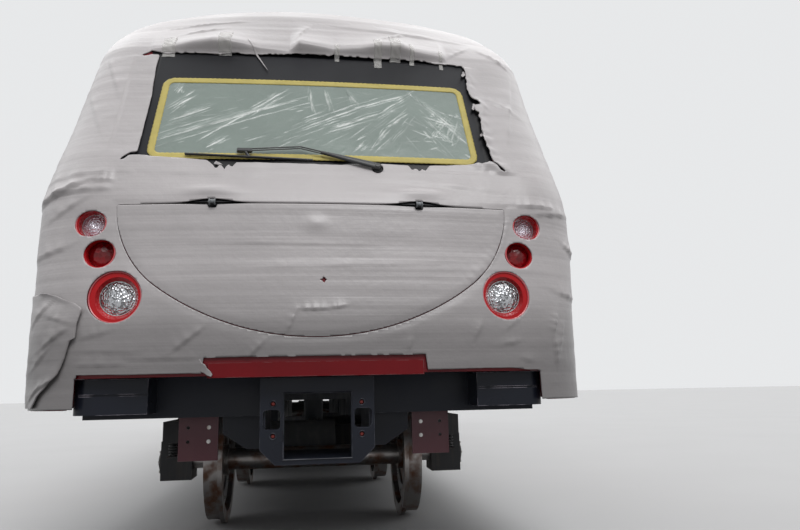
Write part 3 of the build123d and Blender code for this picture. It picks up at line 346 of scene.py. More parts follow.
def steel(name, colour, roughness, rust=0.0, brush=(40.0, 40.0, 400.0)):
    """Bare steel: brushed lines, smears, and rust where it is asked for."""
    finish = Finish(name, colour, roughness, Metallic=1.0)
    finish.grain(1.0, 3.0, 0.0003, stretched(finish.tree, finish.place, brush))
    smear = finish.patches(4.0, 0.35, 0.7)
    finish.tint(smear, shade(colour, 0.6), 0.5)
    finish.smear(smear, 0.8, 1.5)
    if rust:
        spots = finish.patches(9.0, 0.62 - 0.3 * rust, 0.75 - 0.2 * rust)
        finish.tint(spots, (0.16, 0.07, 0.035))
        finish.feed("Metallic", finish.maths("SUBTRACT", 1.0, spots, clamp=True))
    return finish.material


def glass(name, colour, alpha):
    """Tinted glass with a light film of dust."""
    finish = Finish(name, colour, 0.04, Alpha=alpha, IOR=1.5, Coat_Weight=0.6, Coat_Roughness=0.03)
    dirt = finish.effect("dust", Scale=3.0, Upper=0.3, Streaks=0.35)[0]
    finish.tint(dirt, (0.45, 0.45, 0.43))
    finish.feed("Alpha", finish.node("MapRange", {0: dirt, 3: alpha, 4: min(1.0, alpha + 0.25)}).outputs[0])
    finish.vary_roughness(dirt, 0.04, 0.29)
    return finish.material


def mask_paint(name, colour):
    """Gloss paint of the mask, black round the windscreen, with painted shade in black along the hatch's
    hinges.
    """
    finish = Finish(name, colour, 0.36, Specular_IOR_Level=0.3)
    patch = finish.patches(1.7, 0.35, 0.7)
    finish.tint(patch, shade(colour, 0.75), 0.35)
    parts = finish.node("SeparateXYZ", {0: finish.place}).outputs
    across = finish.maths("ABSOLUTE", parts[0])
    # The window panel and the strip below it, black; and the hinges' strip, where the black is painted shade in
    # the slit over the hatch: half width, low and high end
    for half, low, high in ((1.022, 2.24, 3.14), (1.075, 2.10, 2.25), (0.96, 1.90, 1.99)):
        width = finish.maths("LESS_THAN", across, half)
        above = finish.maths("GREATER_THAN", parts[2], low)
        below = finish.maths("LESS_THAN", parts[2], high)
        forward = finish.maths("LESS_THAN", parts[1], NOSE_Y + 1.0)
        band = finish.maths("MULTIPLY", finish.maths("MULTIPLY", width, above),
                            finish.maths("MULTIPLY", below, forward))
        finish.tint(band, srgb(20, 20, 23))
    finish.vary_roughness(patch, 0.30, 0.48)
    finish.grain(160.0, 2.0, 0.0002)
    return finish.material


def sheet_plastic(name, colour):
    """Loose grey plastic sheet: level ribs, milky patches, a soft shine, and on its lower half painted shade
    with some soil.
    """
    finish = Finish(name, colour, 0.42, Coat_Weight=0.12, Coat_Roughness=0.35)
    ribs = finish.effect("ribs", Spacing=0.024, Along=0.45)
    finish.tint(ribs["Tone"], shade(colour, 0.62), 0.6)
    milky = finish.patches(2.2, 0.45, 0.75)
    finish.tint(milky, shade(colour, 1.18), 0.45)
    grime = finish.patches(0.9, 0.5, 0.8)
    finish.tint(grime, shade(colour, 0.7), 0.3)
    # Painted shade with some soil: the sheet darkens towards its lower edge as if the light fell from above
    height = finish.node("SeparateXYZ", {0: finish.place}).outputs[2]
    shade_and_soil_low = finish.node("MapRange", {0: height, 1: 1.62, 2: 1.10},
                         interpolation_type="SMOOTHSTEP").outputs[0]
    uneven = finish.maths("ADD", finish.maths("MULTIPLY", grime, 0.2), 0.78)
    finish.tint(finish.maths("MULTIPLY", shade_and_soil_low, uneven), shade(colour, 0.33))
    finish.vary_roughness(milky, 0.34, 0.52)
    finish.bump(ribs["Height"], 0.0016)
    finish.grain(26.0, 5.0, 0.0018)
    return finish.material


def clinging_film(name, colour, alpha):
    """Clinging see-through film, whitened at its creases: partly the film's own whitening, partly painted
    highlight.
    """
    finish = Finish(name, colour, 0.32, Alpha=alpha, Coat_Weight=0.3, Coat_Roughness=0.15)
    finish.tint(finish.patches(3.5, 0.35, 0.75), shade(colour, 0.72), 0.45)
    # The creases' white is partly the film's whitening and partly painted highlight along the streaks
    white = finish.node("Attribute", {}, attribute_name="crease").outputs["Fac"]
    finish.tint(white, (0.80, 0.82, 0.79), 0.8)
    finish.feed("Alpha", finish.maths("ADD", finish.maths("MULTIPLY", white, 0.4), alpha, clamp=True))
    wrinkle = finish.node("TexNoise",
                          {"Vector": finish.place, "Scale": 18.0, "Detail": 6.0, "Distortion": 0.6})
    finish.bump(wrinkle.outputs[0], 0.004)
    return finish.material


def sticky_tape(name, colour, roughness=0.55, alpha=1.0, crepe=0.0008):
    """Sticky tape: fine wrinkles across it and soiled patches."""
    finish = Finish(name, colour, roughness, Alpha=alpha)
    finish.tint(finish.patches(14.0, 0.4, 0.7), shade(colour, 0.72), 0.5)
    finish.grain(190.0, 3.0, crepe)
    return finish.material


def pressed_lens(name, colour, scale, metallic=0.0, coat=0.8, spots=0.85):
    """Pressed lens or reflector with small facets under a clear face, some facets darkened as painted
    reflections.
    """
    finish = Finish(name, colour, 0.16, Metallic=metallic, Coat_Weight=coat, Coat_Roughness=0.03,
                    Specular_IOR_Level=0.5 if metallic else 0.25)
    facets = finish.effect("facets", Scale=scale)
    # Painted reflection: some facets are darkened as if they mirrored dark surroundings
    dark_glint_facets = finish.node("MapRange", {0: facets["Tone"], 1: 0.45, 2: 0.75, 4: spots})
    finish.tint(dark_glint_facets.outputs[0], shade(colour, 0.22))
    finish.vary_roughness(facets["Tone"], 0.10, 0.35)
    finish.bump(facets["Height"], 0.004)
    return finish.material


def woven_cloth(name, colour):
    """Woven seat cloth: crossing threads and worn places."""
    finish = Finish(name, colour, 0.85, Sheen_Weight=0.25)
    for axes in ((900.0, 60.0, 60.0), (60.0, 60.0, 900.0)):
        finish.grain(1.0, 1.0, 0.0006, stretched(finish.tree, finish.place, axes))
    finish.tint(finish.patches(7.0, 0.45, 0.7), shade(colour, 1.7), 0.6)
    return finish.material


def lit_diffuser(name, colour, strength):
    """Diffuser of a lamp that shines softly."""
    finish = Finish(name, colour, 0.4, Emission_Strength=strength)
    finish.set("Emission Color", (*colour, 1.0))
    finish.grain(240.0, 2.0, 0.0004)
    return finish.material


def srgb(*parts):
    """Colour as a screen shows it, 0 to 255, made linear."""
    return tuple((p / 255 / 12.92) if p <= 10 else ((p / 255 + 0.055) / 1.055) ** 2.4 for p in parts)


# Each slot's and small fitting's finish: maker, colour or the user's setting, and what else the maker takes
FINISHES = {
    "mask_paint": (mask_paint, "mask_colour"),
    "side_paint": (paint, "side_colour", 0.34, {"wear": 0.15, "dust": 0.16, "coat": 0.4}),
    "door_paint": (paint, "door_colour", 0.32, {"wear": 0.25, "dust": 0.14, "coat": 0.5}),
    "roof_grey": (paint, srgb(128, 131, 133), 0.5, {"dust": 0.35}),
    "black_gloss": (deep_paint, srgb(17, 18, 23), 0.40),
    "glass": (glass, srgb(34, 42, 42), 0.72),
    "lamp_cup_red": (deep_paint, "cup_colour", 0.22),
    "lamp_rim_red": (paint, srgb(205, 92, 98), 0.3, {"dust": 0.02, "coat": 0.5}),
    "lens_clear": (pressed_lens, (0.46, 0.47, 0.49), 95.0, {"metallic": 1.0}),
    "lens_marker": (pressed_lens, srgb(226, 220, 232), 120.0, {"metallic": 0.5, "spots": 0.40}),
    "lens_red": (pressed_lens, srgb(140, 5, 18), 45.0, {"coat": 0.35, "spots": 0.55}),
    "lip_red": (deep_paint, "lip_colour", 0.42, {"wear": 0.5}),
    "underframe_black": (deep_paint, "underparts_black", 0.34, {"wear": 0.6, "bare": srgb(120, 122, 132)}),
    # The anticlimbers' pale lilac rubbed edges are painted highlights along their edges
    "climber_black": (deep_paint, "underparts_black", 0.30, {"wear": 1.0, "bare": srgb(196, 188, 200)}),
    "red_lead": (deep_paint, srgb(128, 54, 50), 0.5, {"wear": 0.4}),
    "underframe_grey": (paint, "underparts_grey", 0.5, {"wear": 0.35, "dust": 0.3}),
    "bracket_maroon": (paint, srgb(74, 28, 38), 0.48, {"wear": 0.4, "dust": 0.03}),
    "black_rubber": (rubber, srgb(30, 30, 32), {"ribs": 0.012}),
    "lining": (plastic, srgb(214, 212, 204), 0.4),
    "bench_plastic": (plastic, srgb(64, 88, 120), 0.38),
    "pole_steel": (steel, (0.62, 0.61, 0.59), 0.24),
    "desk_plastic": (plastic, srgb(58, 60, 64), 0.5),
    "seat_fabric": (woven_cloth, srgb(46, 52, 70)),
    "bogie_black": (paint, srgb(38, 38, 40), 0.58,
                    {"wear": 0.35, "dust": 0.4, "dust_colour": srgb(118, 100, 84)}),
    "motor_grey": (paint, srgb(96, 98, 101), 0.5, {"wear": 0.3, "dust": 0.35}),
    "wheel_steel": (steel, (0.36, 0.34, 0.33), 0.34, {"rust": 0.55, "brush": (90.0, 25.0, 25.0)}),
    "wrap_sheet": (sheet_plastic, "sheet_colour"),
    "clear_film": (clinging_film, "film_colour", "film_cover"),
    "yellow_tape": (sticky_tape, "tape_colour"),
    "packing_tape": (sticky_tape, srgb(232, 230, 226), {"roughness": 0.25, "alpha": 0.34, "crepe": 0.0004}),
    "bright_steel": (steel, (0.60, 0.60, 0.60), 0.26),
    "bolt_steel": (steel, (0.40, 0.39, 0.38), 0.36, {"rust": 0.25}),
    # Near-black finish of the fan wells: painted shade of their depth
    "dark_hole": (rubber, srgb(12, 12, 13), 0.8),
    "wiper_black": (paint, srgb(26, 27, 30), 0.38, {"dust": 0.04, "wear": 0.2, "peel": 0.0001}),
    "hinge_grey": (paint, srgb(112, 116, 120), 0.4, {"wear": 0.4, "dust": 0.1}),
    "lamp_white": (lit_diffuser, (0.86, 0.88, 0.90), 0.35),
    "floor_covering": (rubber, srgb(92, 94, 98), 0.5),
}


def finish(slot):
    """The finish of a slot, made on its first use."""
    name = slot + "_finish"
    if name in bpy.data.materials:
        return bpy.data.materials[name]
    maker, *values = FINISHES[slot]
    options = values.pop() if isinstance(values[-1], dict) else {}
    looks = bpy.context.scene.metro_car
    values = [getattr(looks, value) if isinstance(value, str) else value for value in values]
    return maker(name, *values, **options)


# Meshes

def link_mesh(name, vertices, faces):
    """New smooth object of a mesh, its origin at the frame's."""
    mesh = bpy.data.meshes.new(name)
    mesh.from_pydata([tuple(v) for v in vertices], [], faces)
    mesh.validate()
    piece = bpy.data.objects.new(name, mesh)
    bpy.context.scene.collection.objects.link(piece)
    mesh.shade_smooth()
    return piece


def dress(piece, look, body):
    """Gives a piece its finish and the body that it moves with."""
    piece.data.materials.append(finish(look))
    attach(piece, body)
    return piece


def add_ring_faces(mesh, rings, closed=False):
    """Faces between rings of vertices, each joined to the next, and the last to the first if they close."""
    for low, high in zip(rings, rings[1:] + rings[:1] if closed else rings[1:]):
        for k in range(len(low)):
            after = (k + 1) % len(low)
            mesh.faces.new((low[k], low[after], high[after], high[k]))


def around(place, axis, radius, count, start=0.0):
    """Points round a place, evenly spaced in the plane square to axis 0, 1 or 2."""
    a, b = (k for k in range(3) if k != axis)
    points = [Vector(place) for _ in range(count)]
    for k, point in enumerate(points):
        angle = start + 2 * pi * k / count
        point[a] += radius * cos(angle)
        point[b] += radius * sin(angle)
    return points


def grid_faces(rows, columns, closed=False):
    """Faces of a grid of vertices that are numbered row by row. In a closed one each row's ends meet."""
    faces = []
    for i in range(rows - 1):
        for j in range(columns if closed else columns - 1):
            a, b = i * columns + j, i * columns + (j + 1) % columns
            faces.append((a, b, b + columns, a + columns))
    return faces


def grid_piece(name, grid):
    """New object of a grid of points."""
    return link_mesh(name, grid.reshape(-1, 3), grid_faces(*grid.shape[:2]))


def trim(piece, keep):
    """Cuts a mesh along the line where a value at its vertices crosses zero, and keeps the positive side."""
    mesh = bmesh.new()
    mesh.from_mesh(piece.data)
    mesh.verts.ensure_lookup_table()
    layer = mesh.verts.layers.float.new("keep")
    for vertex, value in zip(mesh.verts, keep.ravel()):
        vertex[layer] = value if abs(value) > 1e-7 else 1e-7
    cuts = []
    for edge in list(mesh.edges):
        a, b = edge.verts
        if a[layer] * b[layer] < 0:
            share = a[layer] / (a[layer] - b[layer])
            cuts.append(bmesh.utils.edge_split(edge, a, share)[1])
    for vertex in cuts:
        vertex[layer] = 0.0
    bmesh.ops.connect_verts(mesh, verts=cuts)
    outside = [f for f in mesh.faces if min(v[layer] for v in f.verts) < 0]
    bmesh.ops.delete(mesh, geom=outside, context="FACES")
    bmesh.ops.remove_doubles(mesh, verts=mesh.verts, dist=1e-5)
    mesh.verts.layers.float.remove(mesh.verts.layers.float["keep"])
    mesh.to_mesh(piece.data)
    mesh.free()
    piece.data.shade_smooth()


def thicken(piece, thickness, rim_only=False):
    """Gives a sheet its thickness, all over or only as a rim at its open edges."""
    modifier = piece.modifiers.new("thickness", "SOLIDIFY")
    modifier.thickness = thickness
    modifier.use_rim_only = rim_only


def lay_sheet(piece, look, body, stands_for=None):
    """Dresses a piece, and hides the part of the model that it stands for, where one is given."""
    dress(piece, look, body)
    if stands_for:
        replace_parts(piece, stands_for)


class Solids:
    """Gathers small solids into one mesh."""

    def __init__(self):
        self.mesh = bmesh.new()

    def box(self, low, high, bevel=0.0, turn=None, segments=2):
        """Box between two opposite corners, in any order, with rounded edges, turned about its middle."""
        low, high = (Vector(corner) for corner in zip(*(sorted(pair) for pair in zip(low, high))))
        place = Matrix.Translation((high + low) / 2)
        if turn:
            place = place @ Euler([radians(a) for a in turn]).to_matrix().to_4x4()
        made = bmesh.ops.create_cube(self.mesh, size=1.0,
                                     matrix=place @ Matrix.Diagonal((*(high - low), 1.0)))
        if bevel:
            edges = list({e for v in made["verts"] for e in v.link_edges})
            bmesh.ops.bevel(self.mesh, geom=edges, offset=bevel, segments=segments, affect="EDGES")

    def rod(self, a, b, radius, sides=20, bevel=0.0):
        """Round bar between two points."""
        a, b = Vector(a), Vector(b)
        turn = (b - a).to_track_quat("Z", "Y").to_matrix().to_4x4()
        made = bmesh.ops.create_cone(self.mesh, cap_ends=True, segments=sides, radius1=radius, radius2=radius,
                                     depth=(b - a).length, matrix=Matrix.Translation((a + b) / 2) @ turn)
        if bevel:
            caps = [e for e in {e for v in made["verts"] for e in v.link_edges}
                    if any(len(f.verts) > 4 for f in e.link_faces)]
            bmesh.ops.bevel(self.mesh, geom=caps, offset=bevel, segments=2, affect="EDGES")

    def bolt(self, place, axis, size, height):
        """Hexagon head on a washer, standing out along an axis."""
        place, axis = Vector(place), Vector(axis).normalized()
        self.rod(place, place + axis * 0.003, size * 1.15, sides=20)
        self.rod(place + axis * 0.003, place + axis * (0.003 + height), size * 0.88, sides=6, bevel=0.0012)

    def lathe(self, place, axis, profile, sides):
        """Turned solid: profile rows are radius and distance along the axis."""
        turn = Vector(axis).to_track_quat("Z", "Y").to_matrix()
        angles = [2 * pi * k / sides for k in range(sides)]
        add_ring_faces(self.mesh, [
            [self.mesh.verts.new(Vector(place) + turn @ Vector((radius * cos(t), radius * sin(t), along)))
             for t in angles] for radius, along in profile])

    def pipe(self, points, radius, sides=12):
        """Bent pipe through points, with a rounded path and closed ends."""
        line = rounded_path([Vector(p) for p in points], 4 * radius)
        rings = []
        normal = (line[1] - line[0]).orthogonal().normalized()
        for i, point in enumerate(line):
            tangent = (line[min(i + 1, len(line) - 1)] - line[max(i - 1, 0)]).normalized()
            normal = (normal - tangent * normal.dot(tangent)).normalized()
            rings.append(self.ring(point, normal, tangent.cross(normal), radius, sides))
        add_ring_faces(self.mesh, rings)
        self.cap(rings)

    def hoop(self, points, radius, sides=8):
        """Closed tube through points."""
        points = [Vector(p) for p in points]
        rings = []
        middle = sum(points, Vector()) / len(points)
        for i, point in enumerate(points):
            tangent = (points[(i + 1) % len(points)] - points[i - 1]).normalized()
            outward = point - middle
            outward = (outward - tangent * outward.dot(tangent)).normalized()
            rings.append(self.ring(point, outward, tangent.cross(outward), radius, sides))
        add_ring_faces(self.mesh, rings, closed=True)

    def ring(self, middle, a, b, radius, sides):
        """Vertices round a point in the plane of two unit vectors."""
        return [self.mesh.verts.new(middle + radius * (a * cos(t) + b * sin(t)))
                for t in (2 * pi * k / sides for k in range(sides))]

    def cap(self, rings):
        """Closes both ends of a row of rings."""
        self.mesh.faces.new(list(reversed(rings[0])))
        self.mesh.faces.new(rings[-1])

    def plate_on_side(self, side, outline):
        """Pane that follows the side wall's lean, from outline points of y and z."""
        rings = [[self.mesh.verts.new((side * (side_x(z) - inset), y, z)) for y, z in outline]
                 for inset in (PANE_INSET, PANE_INSET + PANE_THICKNESS)]
        self.mesh.faces.new(rings[0])
        self.mesh.faces.new(list(reversed(rings[1])))
        outer, inner = rings
        for k in range(len(outline)):
            after = (k + 1) % len(outline)
            self.mesh.faces.new((outer[k], inner[k], inner[after], outer[after]))

    def finish(self, name, look, body="car", slot="own"):
        """Makes the piece. The slot, "own" for the look's own where the record has one, is not used."""
        mesh = bpy.data.meshes.new(name)
        bmesh.ops.recalc_face_normals(self.mesh, faces=self.mesh.faces)
        self.mesh.to_mesh(mesh)
        self.mesh.free()
        piece = bpy.data.objects.new(name, mesh)
        bpy.context.scene.collection.objects.link(piece)
        mesh.shade_smooth()
        mesh.set_sharp_from_angle(angle=radians(35.0))
        if slot == "own":
            slot = look if look in RECORD_SLOTS else None
        return dress(piece, look, body)


def finish_all(made, body="car", prefix=""):
    """Makes pieces from a table: name, solids, look, and the slot where it isn't the look's own."""
    return [solids.finish(prefix + name, look, body, *slot) for name, solids, look, *slot in made]


def rounded_path(points, radius, steps=5):
    """Points of a path whose corners are rounded off."""
    line = [points[0]]
    for before, corner, after in zip(points, points[1:], points[2:]):
        reach = min(radius, 0.45 * (corner - before).length, 0.45 * (after - corner).length)
        start = corner + (before - corner).normalized() * reach
        end = corner + (after - corner).normalized() * reach
        for k in range(steps + 1):
            t = k / steps
            line.append((1 - t) ** 2 * start + 2 * t * (1 - t) * corner + t * t * end)
    line.append(points[-1])
    return line


def rounded_rectangle(a_half, b_low, b_high, radius, top_half=None, count=10):
    """Points of a rounded outline with leaning sides, anticlockwise."""
    top_half = a_half if top_half is None else top_half
    corners = [(-a_half, b_low, 180), (a_half, b_low, 270), (top_half, b_high, 0), (-top_half, b_high, 90)]
    points = []
    for a, b, start in corners:
        centre = (a - radius * np.sign(a), b + radius * (1 if b == b_low else -1))
        for k in range(count + 1):
            angle = radians(start + 90 * k / count)
            points.append((centre[0] + radius * cos(angle), centre[1] + radius * sin(angle)))
    return points


def outline_on_side(side, centre, half, low, high, radius, inset):
    """Points of a rounded outline on the side wall."""
    return [(side * (side_x(z) - inset), centre + y, z)
            for y, z in rounded_rectangle(half, low, high, radius)]


# The mask's form

def side_x(z):
    """Half width of the body at a height."""
    return HALF_WIDTH - SHOULDER_LEAN / (SHOULDER_Z - WAIST_Z) * max(0.0, z - WAIST_Z)


def level_line(z):
    """Right half of the mask's front and corner at a height: rows of x and setback from the nose."""
    lean, corner, bow = (float(np.interp(z, MASK_ROWS[:, 0], MASK_ROWS[:, k])) for k in (1, 2, 3))
    centre_x = side_x(z) - corner
    meet = asin(centre_x / (bow - corner))
    a = np.linspace(0.0, meet, 60)
    b = np.linspace(meet, pi / 2, 32)[1:]
    middle = np.stack([bow * np.sin(a), lean + bow * (1 - np.cos(a))], axis=1)
    centre_s = lean + bow - (bow - corner) * cos(meet)
    round_part = np.stack([centre_x + corner * np.sin(b), centre_s - corner * np.cos(b)], axis=1)
    return np.concatenate([middle, round_part])


def run_along(line):
    """Distance of each point of a line from its start, along it."""
    return np.concatenate([[0.0], np.cumsum(np.linalg.norm(np.diff(line, axis=0), axis=1))])


def spaced(line, count):
    """A line again, with so many points at even distances."""
    steps = run_along(line)
    at = np.linspace(0.0, steps[-1], count)
    return np.stack([np.interp(at, steps, line[:, k]) for k in range(line.shape[1])], axis=1)


def section_line():
    """Right half of the body's section from the skirt to the crown: rows of x and z."""
    side = np.array([(side_x(z), z) for z in (SKIRT_Z, WAIST_Z, SHOULDER_Z)])
    shoulder_x, rise = side[-1, 0], CROWN_Z - SHOULDER_Z
    arch_r = (shoulder_x ** 2 + rise ** 2) / (2 * rise)
    a = np.linspace(asin(shoulder_x / arch_r), 0.0, 80)
    arch = np.stack([arch_r * np.sin(a), CROWN_Z - arch_r * (1 - np.cos(a))], axis=1)
    reach = SHOULDER_R * 0.56
    start = side[-1] + (side[1] - side[-1]) / np.linalg.norm(side[1] - side[-1]) * reach
    skip = int(np.searchsorted(np.linalg.norm(arch - arch[0], axis=1), reach))
    t = np.linspace(0.0, 1.0, 12)[:, None]
    bend = (1 - t) ** 2 * start + 2 * t * (1 - t) * side[-1] + t * t * arch[skip]
    return np.concatenate([side[:2], bend, arch[skip + 1:]])


def clouds(points, scale, seed):
    """Smooth noise at points, from about -1 to 1; scale is one number or three."""
    flat = (points * np.asarray(scale, float) + seed * 17.3).reshape(-1, 3)
    return np.array([noise.noise(Vector(p)) for p in flat]).reshape(points.shape[:-1])


def segment_distance(x, z, x0, z0, x1, z1):
    """Distance to a straight segment, and how far along it from 0 to 1."""
    dx, dz = x1 - x0, z1 - z0
    along = np.clip(((x - x0) * dx + (z - z0) * dz) / (dx * dx + dz * dz), 0.0, 1.0)
    return np.hypot(x - x0 - along * dx, z - z0 - along * dz), along


def creases(x, z, rows):
    """Height of folds, steep below and soft above: rows of x0, z0, x1, z1, half width and height."""
    total = np.zeros(np.shape(x))
    for x0, z0, x1, z1, width, height in rows:
        distance, along = segment_distance(x, z, x0, z0, x1, z1)
        taper = np.sin(pi * (0.08 + 0.84 * along)) * (1 + 0.25 * np.sin(23 * along + 40 * x0))
        slope = (z1 - z0) / (x1 - x0) if abs(x1 - x0) > 1e-6 else 1e6
        soft = np.exp(-(distance / (2.4 * width)) ** 1.2)
        steep = np.exp(-(distance / (0.45 * width)) ** 2)
        total += height * taper * np.where(z - z0 > slope * (x - x0), soft, steep)
    return total


def rounded_outline(x, z, half_low, half_high, z0, z1, radius):
    """How far inside a window outline with leaning sides and round corners a place is."""
    half = half_low + (half_high - half_low) * (z - z0) / (z1 - z0)
    qx = np.abs(x) - (half - radius)
    qz = np.abs(z - (z0 + z1) / 2) - ((z1 - z0) / 2 - radius)
    outside = np.hypot(np.maximum(qx, 0), np.maximum(qz, 0))
    return radius - outside - np.minimum(np.maximum(qx, qz), 0)


def hatch_outline(x, z, grow):
    """How far inside the hatch's half-moon, grown by a margin, a place is."""
    side_centre = HATCH_HALF - HATCH_SIDE_R
    side_r, drop = HATCH_SIDE_R + grow, HATCH_DROP + grow
    foot_r = (side_centre ** 2 + drop ** 2 - side_r ** 2) / (2 * (drop - side_r))
    down = HATCH_TOP - z
    foot = foot_r - np.hypot(x, down + foot_r - drop)
    side = side_r - np.hypot(np.abs(x) - side_centre, down)
    slope = (foot_r - drop) / side_centre
    in_corner = down + foot_r - drop < slope * np.abs(x)
    return np.minimum(np.where(in_corner, side, foot), down + grow)


# Depth of the mask's front at even steps of x and z
TABLE_STEP = 0.005
TABLE_X = np.arange(0.0, 1.51, TABLE_STEP)
TABLE_Z = np.arange(0.80, 3.70, TABLE_STEP)
FRONT_TABLE = np.array([NOSE_Y + np.interp(TABLE_X, *level_line(z).T) for z in TABLE_Z])


def on_front(x, z, height=0.0):
    """Points on the mask's front, standing off along its normal by a height."""
    x, z = np.broadcast_arrays(np.asarray(x, float), np.asarray(z, float))

    def depth(px, pz):
        """Y of the mask's face, read from the table between its points."""
        i = np.clip((pz - TABLE_Z[0]) / TABLE_STEP, 0, len(TABLE_Z) - 1.001)
        j = np.clip(np.abs(px) / TABLE_STEP, 0, len(TABLE_X) - 1.001)
        i0, j0 = i.astype(int), j.astype(int)
        fi, fj = i - i0, j - j0
        low = FRONT_TABLE[i0, j0] * (1 - fj) + FRONT_TABLE[i0, j0 + 1] * fj
        high = FRONT_TABLE[i0 + 1, j0] * (1 - fj) + FRONT_TABLE[i0 + 1, j0 + 1] * fj
        return low * (1 - fi) + high * fi

    step = 0.01
    place = np.stack([x, depth(x, z), z], axis=-1)
    slope_x = (depth(x + step, z) - depth(x - step, z)) / (2 * step)
    slope_z = (depth(x, z + step) - depth(x, z - step)) / (2 * step)
    normal = np.stack([slope_x, -np.ones_like(slope_x), slope_z], axis=-1)
    normal /= np.linalg.norm(normal, axis=-1, keepdims=True)
    return place + normal * np.asarray(height)[..., None]


def polygon_inside(x, z, points):
    """How far inside an outline of points a place is, negative outside it."""
    points = np.asarray(points)
    distance = np.full(np.shape(x), 1e9)
    inside = np.zeros(np.shape(x), bool)
    for (x0, z0), (x1, z1) in zip(points, np.roll(points, -1, axis=0)):
        distance = np.minimum(distance, segment_distance(x, z, x0, z0, x1, z1)[0])
        if z0 != z1:
            crossing = x0 + (z - z0) * (x1 - x0) / (z1 - z0)
            inside ^= ((z0 > z) != (z1 > z)) & (x < crossing)
    return np.where(inside, distance, -distance)


# Folds pulled into the front sheet: x and z of both ends, half width, height
FOLDS = [
    (-1.49, 1.965, -1.189, 2.073, 0.020, 0.022), (-1.396, 2.011, -1.068, 2.021, 0.018, 0.016),
    (-1.189, 2.073, -1.060, 2.072, 0.014, 0.014), (-1.46, 2.10, -0.98, 2.13, 0.030, 0.010),
    (-1.40, 1.86, -1.17, 1.99, 0.020, 0.008), (-1.49, 1.66, -1.25, 1.72, 0.020, 0.010),
    (1.116, 1.955, 1.348, 1.953, 0.016, 0.014), (1.198, 1.906, 1.465, 1.944, 0.016, 0.014),
    (1.393, 1.756, 1.49, 1.70, 0.018, 0.014), (1.318, 1.472, 1.49, 1.44, 0.018, 0.012),
    (1.319, 1.358, 1.276, 1.234, 0.016, 0.012), (1.276, 1.234, 1.284, 1.071, 0.016, 0.013),
    (1.362, 1.316, 1.313, 1.147, 0.014, 0.008), (0.863, 1.295, 0.814, 1.200, 0.012, 0.009),
    (0.959, 1.173, 1.075, 1.194, 0.012, 0.007), (1.064, 1.104, 1.157, 1.082, 0.010, 0.006),
    (0.992, 1.253, 1.083, 1.318, 0.014, 0.006), (0.458, 1.141, 0.480, 1.222, 0.010, 0.008),
    (-0.724, 1.149, -0.552, 1.284, 0.013, 0.011), (-0.353, 1.113, -0.257, 1.210, 0.011, 0.009),
    (-1.175, 1.229, -1.013, 1.269, 0.014, 0.007), (-1.207, 1.171, -0.846, 1.162, 0.012, 0.005),
    (-1.218, 1.107, -0.931, 1.105, 0.011, 0.008), (-0.922, 1.129, -0.568, 1.127, 0.010, 0.006),
    (-0.159, 1.228, -0.100, 1.369, 0.010, 0.008), (-0.100, 1.359, 0.061, 1.363, 0.009, 0.010),
    (0.061, 1.363, 0.152, 1.378, 0.009, 0.008), (-0.90, 2.12, -0.20, 2.10, 0.020, 0.005),
    (0.30, 2.10, 1.05, 2.04, 0.026, 0.006), (0.577, 2.163, 1.020, 2.155, 0.012, -0.005),
    (-1.131, 2.283, -1.118, 3.000, 0.012, 0.006), (-1.28, 3.02, -1.14, 2.66, 0.016, 0.007),
    (1.28, 3.00, 1.14, 2.40, 0.030, 0.009), (1.05, 2.75, 1.26, 2.62, 0.014, 0.008),
    (-0.62, 1.72, 0.35, 1.70, 0.016, 0.003), (-0.40, 1.58, 0.62, 1.60, 0.014, 0.003),
    (-1.25, 3.30, -0.40, 3.42, 0.028, 0.010), (0.15, 3.38, 1.05, 3.30, 0.028, 0.010),
    (-0.75, 3.52, 0.20, 3.50, 0.030, 0.009), (-1.35, 2.75, -1.20, 2.40, 0.020, 0.007),
    (0.42, 3.20, 0.62, 3.34, 0.014, 0.012), (-0.12, 3.19, -0.04, 3.36, 0.014, 0.012),
    (1.10, 3.20, 1.28, 3.06, 0.016, 0.012), (0.86, 3.10, 1.02, 3.22, 0.012, 0.010),
    (-0.86, 3.22, -0.60, 3.30, 0.014, 0.010), (1.062, 1.880, 1.006, 1.715, 0.014, 0.009),
    (1.006, 1.715, 0.916, 1.590, 0.014, 0.011), (0.916, 1.590, 0.785, 1.475, 0.014, 0.010),
]
# Swellings: x, z, half width across, half width up, height
SWELLINGS = [
    (-0.55, 2.000, 0.150, 0.030, 0.018), (0.555, 2.000, 0.150, 0.030, 0.018),
    (-0.010, 1.818, 0.060, 0.040, 0.010), (-1.25, 1.28, 0.10, 0.16, 0.014), (1.28, 2.10, 0.12, 0.18, 0.012),
]
# The white edge of the sheet over the window, as it is seen from below: x, z
WINDOW_BROW = [
    (-1.060, 3.060), (-1.029, 3.093), (-0.910, 3.120), (-0.774, 3.169), (-0.651, 3.195), (-0.556, 3.192),
    (-0.458, 3.164), (-0.348, 3.126), (-0.169, 3.105), (-0.107, 3.184), (0.114, 3.136), (0.285, 3.160),
    (0.422, 3.206), (0.544, 3.209), (0.634, 3.162), (0.820, 3.126), (0.891, 3.054), (0.960, 3.041),
]
